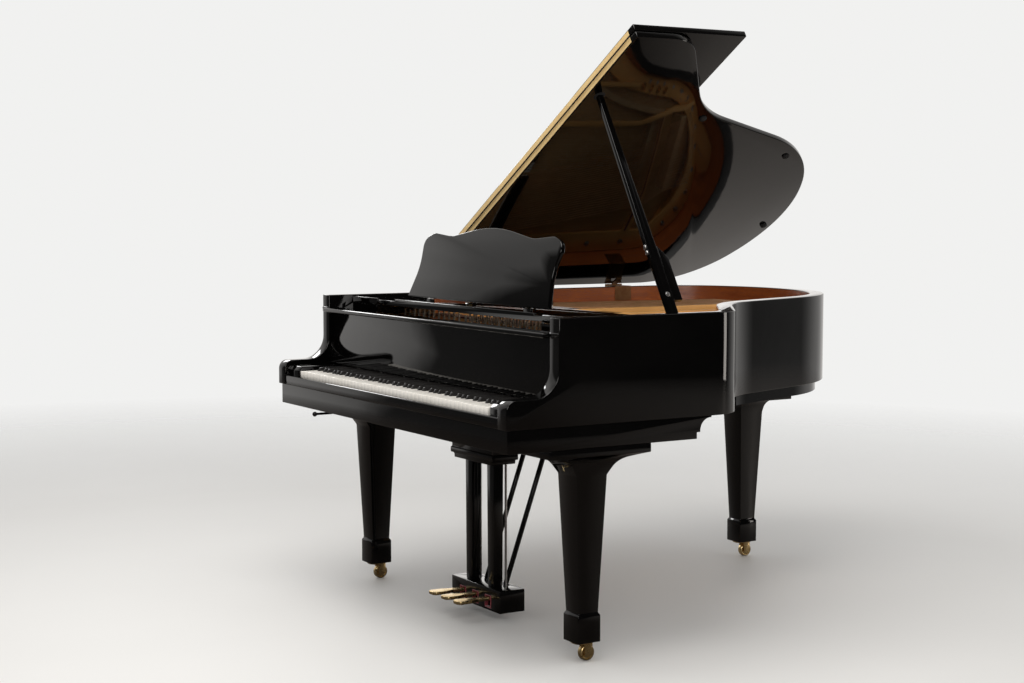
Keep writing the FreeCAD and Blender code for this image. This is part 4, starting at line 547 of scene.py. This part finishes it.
# %% Round the plate and set its lips and bolts
softened("iron_plate", gold_iron, 0.0014)
port_first, port_last = Vector((0.2245, 1.1433, 0.0)), Vector((0.1495, 1.3639, 0.0))
port_gaps = 3
ports = [port_first.lerp(port_last, count / port_gaps) for count in range(port_gaps + 1)]
lip = lathe([(0.0222, 0.9072), (0.0222, 0.9098), (0.0236, 0.9112), (0.0262, 0.9112),
             (0.0282, 0.9094), (0.0288, 0.9072), (0.0222, 0.9072)], 28)
shape = bmesh.new()
for spot in ports:
    add(shape, lip, Matrix.Translation(spot))
put("port_lips", shape, gold_iron, "case")

outward = Vector((0.947, 0.322, 0.0)) * 0.034
bolt_spots = [ports[count].lerp(ports[count + 1], 0.5) + outward for count in range(port_gaps)]
bolt_spots += [Vector((-0.655, along, 0.0)) for along in (0.72, 0.90, 1.08, 1.25, 1.41)]
tail_arcs = (
    ((-0.2761, 1.2763, 0.0), 0.455, (22, 33, 43, 56)),
    ((-0.3102, 1.2370, 0.0), 0.505, (70, 83, 96, 108)),
    ((-0.4201, 1.4822, 0.0), 0.237, (122, 142, 162)),
)
for middle, reach, angles in tail_arcs:
    for turn in map(math.radians, angles):
        bolt_spots.append(Vector(middle) + reach * Vector((math.cos(turn), math.sin(turn), 0.0)))
bolt_spots += [Vector((across, 0.378, 0.0)) for across in (-0.655, -0.44, -0.22, 0.22, 0.44, 0.655)]
bolt_spots += [Vector((0.655, 0.70, 0.0)), Vector((0.655, 0.49, 0.0)), Vector((-0.655, 0.53, 0.0))]
bolt = lathe([(0.0, 0.9074), (0.0125, 0.9074), (0.0125, 0.9092), (0.0092, 0.9098),
              (0.0088, 0.9136), (0.0062, 0.9156), (0.0, 0.9160)], 14)
shape = bmesh.new()
for spot in bolt_spots:
    add(shape, bolt, Matrix.Translation(spot))
put("plate_bolts", shape, satin_steel, "case")
print("ports:", len(ports), "bolts:", len(bolt_spots))

# %% [markdown]
# ## Strings from pin to pin
# Each string starts as a few coils on its tuning pin, passes through a brass stud at the bearing
# rail, and ends at a hitch pin. The nodes hold the sounding length only. The ends are read from
# the nodes themselves, so a wire and its fittings always meet.

# %% Read where the strings and pins are
def lumps(shape):
    """The separate lumps of a shape, each as a list of points."""
    left = set(shape.verts)
    found = []
    while left:
        lump = [left.pop()]
        for point in lump:
            near = {edge.other_vert(point) for edge in point.link_edges} & left
            left -= near
            lump.extend(near)
        found.append([point.co.copy() for point in lump])
    return found


def centre(points):
    """The middle of some points."""
    return sum(points, Vector()) / len(points)


def ends(points):
    """The middle of a lump's near end and far end along the case."""
    near, far = min(point.y for point in points), max(point.y for point in points)
    end_length = 0.004
    first = [point for point in points if point.y < near + end_length]
    last = [point for point in points if point.y > far - end_length]
    return centre(first), centre(last)


wires = []
plain_radius, wound_radius = 0.0006, 0.0009
for name, thick in (("treble_strings", plain_radius), ("bass_strings", wound_radius)):
    shape = copied(name)
    wires += [(*ends(points), thick) for points in lumps(shape)]
    shape.free()
wires.sort(key=lambda wire: wire[0].x)
shape = copied("tuning_pins")
pins = sorted((centre(points) for points in lumps(shape)), key=lambda spot: spot.x)
shape.free()
print("wires:", len(wires), "pins:", len(pins))


# %% Run the wires to the pins
def rod_between(whole, start, end, radius, sides=6):
    """A thin rod from one point to another."""
    part = bmesh.new()
    bmesh.ops.create_cone(part, cap_ends=True, segments=sides, radius1=radius, radius2=radius,
                          depth=(end - start).length)
    add(whole, part, facing((start + end) / 2, end - start))
    part.free()


coil = lathe([(0.0034, 0.9140), (0.0048, 0.9147), (0.0043, 0.9154), (0.0048, 0.9161),
              (0.0043, 0.9168), (0.0048, 0.9175), (0.0034, 0.9182)], 8)
stud = lathe([(0.0, -0.0018), (0.0042, -0.0018), (0.0042, 0.0), (0.0031, 0.0004),
              (0.0031, 0.0034), (0.0018, 0.0044), (0.0, 0.0044)], 6)
hitch = lathe([(0.0, 0.0), (0.0019, 0.0), (0.0017, 0.0125), (0.0, 0.0132)], 6)
coil_radius, coil_height = 0.0042, 0.9161
stud_line, hitch_foot = 0.5945, 0.9075
arc_across, arc_along, arc_radius = -0.3102, 1.237, 0.4784
tails, studs, hitches = bmesh.new(), bmesh.new(), bmesh.new()
for (near, far, thick), pin in zip(wires, pins):
    grip = Vector((pin.x + coil_radius, pin.y, coil_height))
    rod_between(tails, near, grip, thick)
    add(tails, coil, Matrix.Translation((pin.x, pin.y, 0.0)))
    add(studs, stud, Matrix.Translation((near.x, stud_line, near.z)))
    if thick == wound_radius:
        along = arc_along + math.sqrt(arc_radius ** 2 - (far.x - arc_across) ** 2)
        rod_between(tails, far, Vector((far.x, along, 0.9125)), thick)
    else:
        along = far.y + 0.003
    add(hitches, hitch, Matrix.Translation((far.x, along, hitch_foot)))
put("string_tails", tails, steel, "case")
put("string_studs", studs, brass, "case")
put("hitch_pins", hitches, satin_steel, "case")
print("tails, studs and hitch pins:", len(wires))

# %% [markdown]
# ## Felt under and between the strings
# A strip of wine-red felt lies on the plate under the wires' short ends so that they don't ring,
# and another runs beside the hitch bar. Felt has soft corners, so each strip is a bar with a
# generous bevel.

# %% Lay the felt strips
shape = bmesh.new()
add(shape, bar((-0.628, 0.500, 0.9076), (0.628, 0.566, 0.9118), 0.0015))
add(shape, bar((-0.600, 1.404, 0.9076), (0.000, 1.4095, 0.9150), 0.002))
put("string_felt", shape, burgundy_felt, "case")
print("felt strips laid")

# %% [markdown]
# ## Dampers and hammers
# A damper is a black block over a pad of white felt, and a hammer is a wooden shank with a felt
# head. Both are single solids in the model. Cutting a copy where the two materials meet, and
# coating by height or depth, gives each its two finishes without a second solid. The bass dampers
# sit higher, because their strings cross over.

# %% Dress the dampers and the hammers
treble_pad_top, bass_pad_top, pads_between, above_all = 0.9272, 0.9482, 0.925, 2.0
treble_block_top, bass_pad_foot, bass_side = 0.946, 0.9395, -0.2
head_start = 0.6178
shape = copied("dampers")
for level, low, high in ((treble_pad_top, 0.0, pads_between),
                         (bass_pad_top, pads_between, above_all)):
    row = {point for face in shape.faces for point in face.verts
           if low < min(corner.co.z for corner in face.verts) < high}
    geometry = [point for point in shape.verts if point in row]
    for kind in (shape.edges, shape.faces):
        geometry += [item for item in kind if row.issuperset(item.verts)]
    bmesh.ops.bisect_plane(shape, geom=geometry, dist=0.000001, plane_co=(0, 0, level),
                           plane_no=(0, 0, 1))
for face in shape.faces:
    middle = face.calc_center_median()
    bass = middle.z > treble_block_top or (middle.z > bass_pad_foot and middle.x < bass_side)
    pad = middle.z < treble_pad_top or (bass and middle.z < bass_pad_top)
    face.material_index = 1 if pad else 0
dressed = put("dampers_finished", shape, [lacquer, white_felt], "dampers")
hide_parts("dampers")

shape = copied("hammers")
for face in shape.faces:
    face.material_index = 1 if face.calc_center_median().y > head_start else 0
dressed = put("hammers_finished", shape, [maple, white_felt], "hammers")
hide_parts("hammers")
print("dampers and hammers dressed")

# %% [markdown]
# ## Keys
# White key tops have a fine rounded edge and the black ones a broader one, from years of hands
# and from the file that dressed them. Rounding every key's edges is enough: the row of small
# highlights is what reads as a keyboard.

# %% Round the keys
for name in ("key_c", "key_d", "key_e", "bass_white_keys", "treble_white_keys"):
    softened(name, ivory, 0.0007)
for name in ("key_c_sharp", "key_d_sharp", "bass_black_keys", "treble_black_keys"):
    softened(name, ebony, 0.0011)
print("keys rounded")

# %% [markdown]
# ## Fallboard, shelf and desk
# The fallboard covers the keys when it is turned down. A strip of dark felt under its foot keeps
# dust from the keys. The desk's wavy outline is in the model already, so rounding brings out its
# edge.

# %% Round the fallboard, the shelf and the desk
softened("fallboard", lacquer, 0.0015, 3)
softened("music_shelf", lacquer, 0.0015)
softened("music_desk", lacquer, 0.003, 3)
shape = bar((-0.612, 0.1700, 0.7496), (0.612, 0.1830, 0.7522), 0.0008)
put("key_felt", shape, rubber, "fallboard")
print("front dressed")

# %% [markdown]
# ## The lids
# The main lid turns on two hinges at the straight side, and the front lid lies folded back on it.
# Both are slabs with a rubbed edge. The long hinge between them shows as two bands of brass, made
# lighter and less metallic than the other brass so that they read bright, which is partly painted
# light; the dark band between them is painted shade where the gap falls in shadow. Under the lid
# sit small rubber buttons that meet the rim when it closes. Their places are given in the lid's own
# terms, distance from the hinge line and along the case, and turned into the open pose.

# %% Round the lids and set their buttons
lid_turn = math.radians(31.2)
hinge_line = Vector((-0.759, 0.0, 0.9825))
lid_out = Vector((math.cos(lid_turn), 0.0, math.sin(lid_turn)))
under = Vector((math.sin(lid_turn), 0.0, -math.cos(lid_turn)))
shaded_gap_back = 0.5671


def under_lid(out, along):
    """The place of a turned piece under the open lid, by its distances out and along."""
    underside = 0.0025
    spot = hinge_line + lid_out * out - under * underside
    return facing((spot.x, along, spot.z), under)


softened("main_lid", lacquer, 0.003, 3)
softened("front_lid", lacquer, 0.003, 3)
shape = copied("flap_hinge_rear_leaf")
# Faces in front of this line take the dark rubber: painted shade for the gap between the brass
# bands.
for face in shape.faces:
    face.material_index = 1 if face.calc_center_median().y < shaded_gap_back else 0
hinge_leaf = put("flap_hinge_rear_leaf_finished", shape, [brightened_hinge_brass, rubber], "lid")
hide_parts("flap_hinge_rear_leaf")
button = lathe([(0.0, -0.0006), (0.0125, -0.0006), (0.0125, 0.0035), (0.0105, 0.0062),
                (0.006, 0.0078), (0.0, 0.0082)], 20)
shape = bmesh.new()
for out, along in ((1.115, 1.068), (0.905, 1.564), (0.436, 1.800)):
    add(shape, button, under_lid(out, along))
put("lid_buttons", shape, rubber, "lid")
print("lid buttons set")

# %% [markdown]
# ## The prop
# A long stick holds the lid at its full height. Its head rests in a small dark cup under the lid,
# and its foot turns on a pin at the rim. The stick is rounded, and the cup and the screws that
# hold its fittings are turned.

# %% Dress the prop
prop_turn = math.radians(30.5)
prop_up = Vector((-math.sin(prop_turn), 0.0, math.cos(prop_turn)))
prop_along = 0.610
prop_foot = Vector((0.668, prop_along, 0.952))
prop_face = Vector((math.cos(prop_turn), 0.0, math.sin(prop_turn)))
softened("long_prop", lacquer, 0.002, 3)
softened("short_prop", lacquer, 0.002, 3)
cup = lathe([(0.0, -0.0006), (0.019, -0.0006), (0.019, 0.0012), (0.0172, 0.0022),
             (0.0158, 0.0022), (0.0, 0.0016)], 28)
shape = bmesh.new()
add(shape, cup, under_lid(1.214, prop_along))
put("prop_cup", shape, rubber, "lid")
screw = lathe([(0.0, 0.0076), (0.0075, 0.0076), (0.0075, 0.0090), (0.0058, 0.0096),
               (0.0050, 0.0108), (0.0, 0.0112)], 20)
shape = bmesh.new()
add(shape, screw, facing(prop_foot + prop_up * 0.085, prop_face))
front_face = Vector((0.0, -0.0094, 0.0))
for along in (0.226, 0.244):
    add(shape, screw, facing(prop_foot + prop_up * along + front_face, (0, -1, 0)))
put("prop_screws", shape, satin_steel, "long_prop")
print("prop dressed")

# %% [markdown]
# ## Lyre and pedals
# Two posts carry the pedal box under the keybed, and a rounded bead runs round their head. The
# pedals are cast brass with rounded crowns. Red felt lines the openings so that the brass doesn't
# knock on the wood.

# %% Dress the lyre and the pedals
for name, width in (("lyre_head", 0.002), ("lyre_posts", 0.002), ("pedal_box", 0.0018)):
    softened(name, lacquer, width)
for name in ("left_pedal", "middle_pedal", "right_pedal"):
    softened(name, brass, 0.0022, 3)
bead_half, bead_inside, bead_front = 0.134, 0.125, 0.321
bead_low, bead_high, bead_round = 0.5015, 0.5205, 0.0040
shape = bmesh.new()
add(shape, bar((-bead_half, bead_front, bead_low), (bead_half, 0.330, bead_high), bead_round, 3))
for side in (-1, 1):
    low, high = sorted((side * bead_inside, side * bead_half))
    add(shape, bar((low, bead_front, bead_low), (high, 0.4125, bead_high), bead_round, 3))
put("lyre_bead", shape, lacquer, "case")
felt_front, felt_back, felt_half, felt_round = 0.3338, 0.3462, 0.0160, 0.0008
shape = bmesh.new()
for middle in (-0.078, 0.0, 0.078):
    for side in (-1, 1):
        low, high = sorted((middle + side * 0.0183, middle + side * 0.0158))
        add(shape, bar((low, felt_front, 0.0380), (high, felt_back, 0.0772), felt_round))
    for low, high in ((0.0748, 0.0773), (0.0378, 0.0403)):
        add(shape, bar((middle - felt_half, felt_front, low), (middle + felt_half, felt_back, high),
                       felt_round))
put("pedal_felt", shape, burgundy_felt, "case")
print("lyre dressed")

# %% [markdown]
# ## Legs and casters
# The legs taper from a flared cap to a square foot. Each stands on a brass caster: a fork that
# swivels on its stem, and a turned wheel with a hub and a rounded tread. The wheel is a profile
# spun about its axle.

# %% Dress the legs and the casters
for name in ("bass_leg", "treble_leg", "tail_leg"):
    softened(name, lacquer, 0.002, 2, 28.0)
half_wheel = [(0.0043, 0.0100), (0.0080, 0.0100), (0.0092, 0.0078), (0.0155, 0.0074),
              (0.0178, 0.0094), (0.0208, 0.0096), (0.0224, 0.0084), (0.0230, 0.0062)]
other_half = [(radius, -along) for radius, along in half_wheel]
wheel = lathe(other_half + half_wheel[::-1] + other_half[:1], 36)
collar = lathe([(0.0268, 0.0584), (0.0268, 0.0536), (0.0300, 0.0524), (0.0335, 0.0548),
                (0.0345, 0.0584), (0.0268, 0.0584)], 32)
caster_trail = 0.014
for side in ("bass", "treble", "tail"):
    low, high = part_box(side + "_caster_wheel")
    middle = (Vector(low) + Vector(high)) / 2
    shape = bmesh.new()
    add(shape, wheel, facing(middle, (1, 0, 0)))
    turned = put(side + "_wheel_turned", shape, brass, side + "_wheel")
    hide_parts(side + "_caster_wheel")
    softened(side + "_caster_fork", brass, 0.0007)
    shape = bmesh.new()
    add(shape, collar, Matrix.Translation((middle.x, middle.y - caster_trail, 0.0)))
    put(side + "_collar", shape, brass, "case")
print("wheel faces:", len(wheel.faces))

# %% [markdown]
# ## Room and light
# A pale floor that fades into a pale surround keeps the eye on the black case. Lacquer shows its
# surroundings, so the surround that mirrored rays see is brighter behind the piano than in front,
# which leaves the near side deep and the far edges bright. The floor, too, looks darker in a
# mirrored ray than to the eye, or the legs would turn grey. A broad lamp overhead gives the soft
# shadow, and a second one on the camera's side fills the hollow under the lid. A tall narrow lamp
# beside the bent side draws its upright streak, and one at the far side the bright edges in
# front.

# %% Lay the floor
shape = bmesh.new()
bmesh.ops.create_circle(shape, cap_ends=True, segments=96, radius=7.0)
mesh = bpy.data.meshes.new("floor")
shape.to_mesh(mesh)
shape.free()
floor_coat, tree, shader, place = finish("pale_floor", Roughness=0.6)
patches = noise(tree, place, 0.8, 3.0)
pale = blend_colour(tree, patches, rgb(0.74, 0.73, 0.71), rgb(0.80, 0.79, 0.77))
# In mirrored rays the floor takes a dark brown instead of its pale colour: a painted reflection,
# darkest in front of the piano and lighter behind it.
mirrored = node(tree, "LightPath").outputs["Is Glossy Ray"]
along = node(tree, "SeparateXYZ", {"Vector": place}).outputs["Y"]
behind = spread(tree, along, 0.8, 2.6, 0.0, 1.0)
deep = blend_colour(tree, behind, rgb(0.075, 0.057, 0.044), rgb(0.42, 0.38, 0.345))
tree.links.new(blend_colour(tree, mirrored, pale, deep), shader.inputs["Base Color"])
far_out = node(tree, "VectorMath", {0: place}, operation="LENGTH").outputs["Value"]
tree.links.new(spread(tree, far_out, 2.6, 6.6, 1.0, 0.0), shader.inputs["Alpha"])
mesh.materials.append(floor_coat)
floor = bpy.data.objects.new("floor", mesh)
bpy.context.scene.collection.objects.link(floor)
print("floor laid")

# %% Light the room
world = bpy.data.worlds.new("pale_room")
bpy.context.scene.world = world
world.use_nodes = True
tree = world.node_tree
background = tree.nodes["Background"]
direction = node(tree, "TexCoord").outputs["Generated"]
parts = node(tree, "SeparateXYZ", {"Vector": direction}).outputs
beside = spread(tree, parts["X"], 0.30, -0.75, 0.02, 0.95)
behind = spread(tree, parts["Y"], -0.38, 0.55, 0.68, 1.25)
tilt = {0: parts["Z"], 1: 0.3, 2: parts["Y"]}
raised = node(tree, "Math", tilt, operation="MULTIPLY_ADD").outputs[0]
front_edge = spread(tree, raised, -0.50, -0.41, 0.14, 1.0)
uneven = spread(tree, noise(tree, direction, 1.7, 1.0), 0.35, 0.65, 0.70, 1.10)
glow = beside
for share in (behind, front_edge, uneven):
    glow = node(tree, "Math", {0: glow, 1: share}, operation="MULTIPLY").outputs[0]
warm = {0: (1.0, 0.975, 0.945), "Scale": glow}
dimmed = node(tree, "VectorMath", warm, operation="SCALE").outputs["Vector"]
path = node(tree, "LightPath").outputs
either = {0: path["Is Glossy Ray"], 1: path["Is Transmission Ray"]}
mirrored = node(tree, "Math", either, operation="MAXIMUM").outputs[0]
lit = blend_colour(tree, mirrored, rgb(0.62, 0.62, 0.62), dimmed)
shown = blend_colour(tree, path["Is Camera Ray"], lit, rgb(0.88, 0.88, 0.87))
tree.links.new(shown, background.inputs["Color"])


def lamp(name, spot, aim, size, power, colour=(1.0, 1.0, 1.0), only_mirrored=False):
    """A soft lamp that looks at a point, unseen by the camera; some show in mirrors alone."""
    light = bpy.data.lights.new(name, "AREA")
    light.shape = "RECTANGLE"
    light.size, light.size_y = size
    light.energy = power
    light.color = colour
    made = bpy.data.objects.new(name, light)
    made.location = spot
    made.rotation_euler = (Vector(aim) - Vector(spot)).to_track_quat("-Z", "Y").to_euler()
    made.visible_camera = False
    made.visible_diffuse = not only_mirrored
    bpy.context.scene.collection.objects.link(made)


lamp("overhead", (0.6, -0.6, 4.2), (0.0, 0.8, 0.6), (3.2, 2.4), 95.0, (1.0, 0.98, 0.95))
lamp("near_fill", (4.6, -1.6, 2.3), (-0.4, 1.0, 0.9), (2.6, 1.6), 60.0, (1.0, 0.97, 0.94))
lamp("bent_side_strip", (2.6, 4.9, 1.25), (0.6, 0.9, 0.8), (0.8, 2.4), 26.0, (1.0, 0.93, 0.86),
     only_mirrored=True)
lamp("far_wall", (-4.2, 0.5, 2.6), (0.0, 0.3, 0.8), (1.4, 1.0), 34.0, only_mirrored=True)
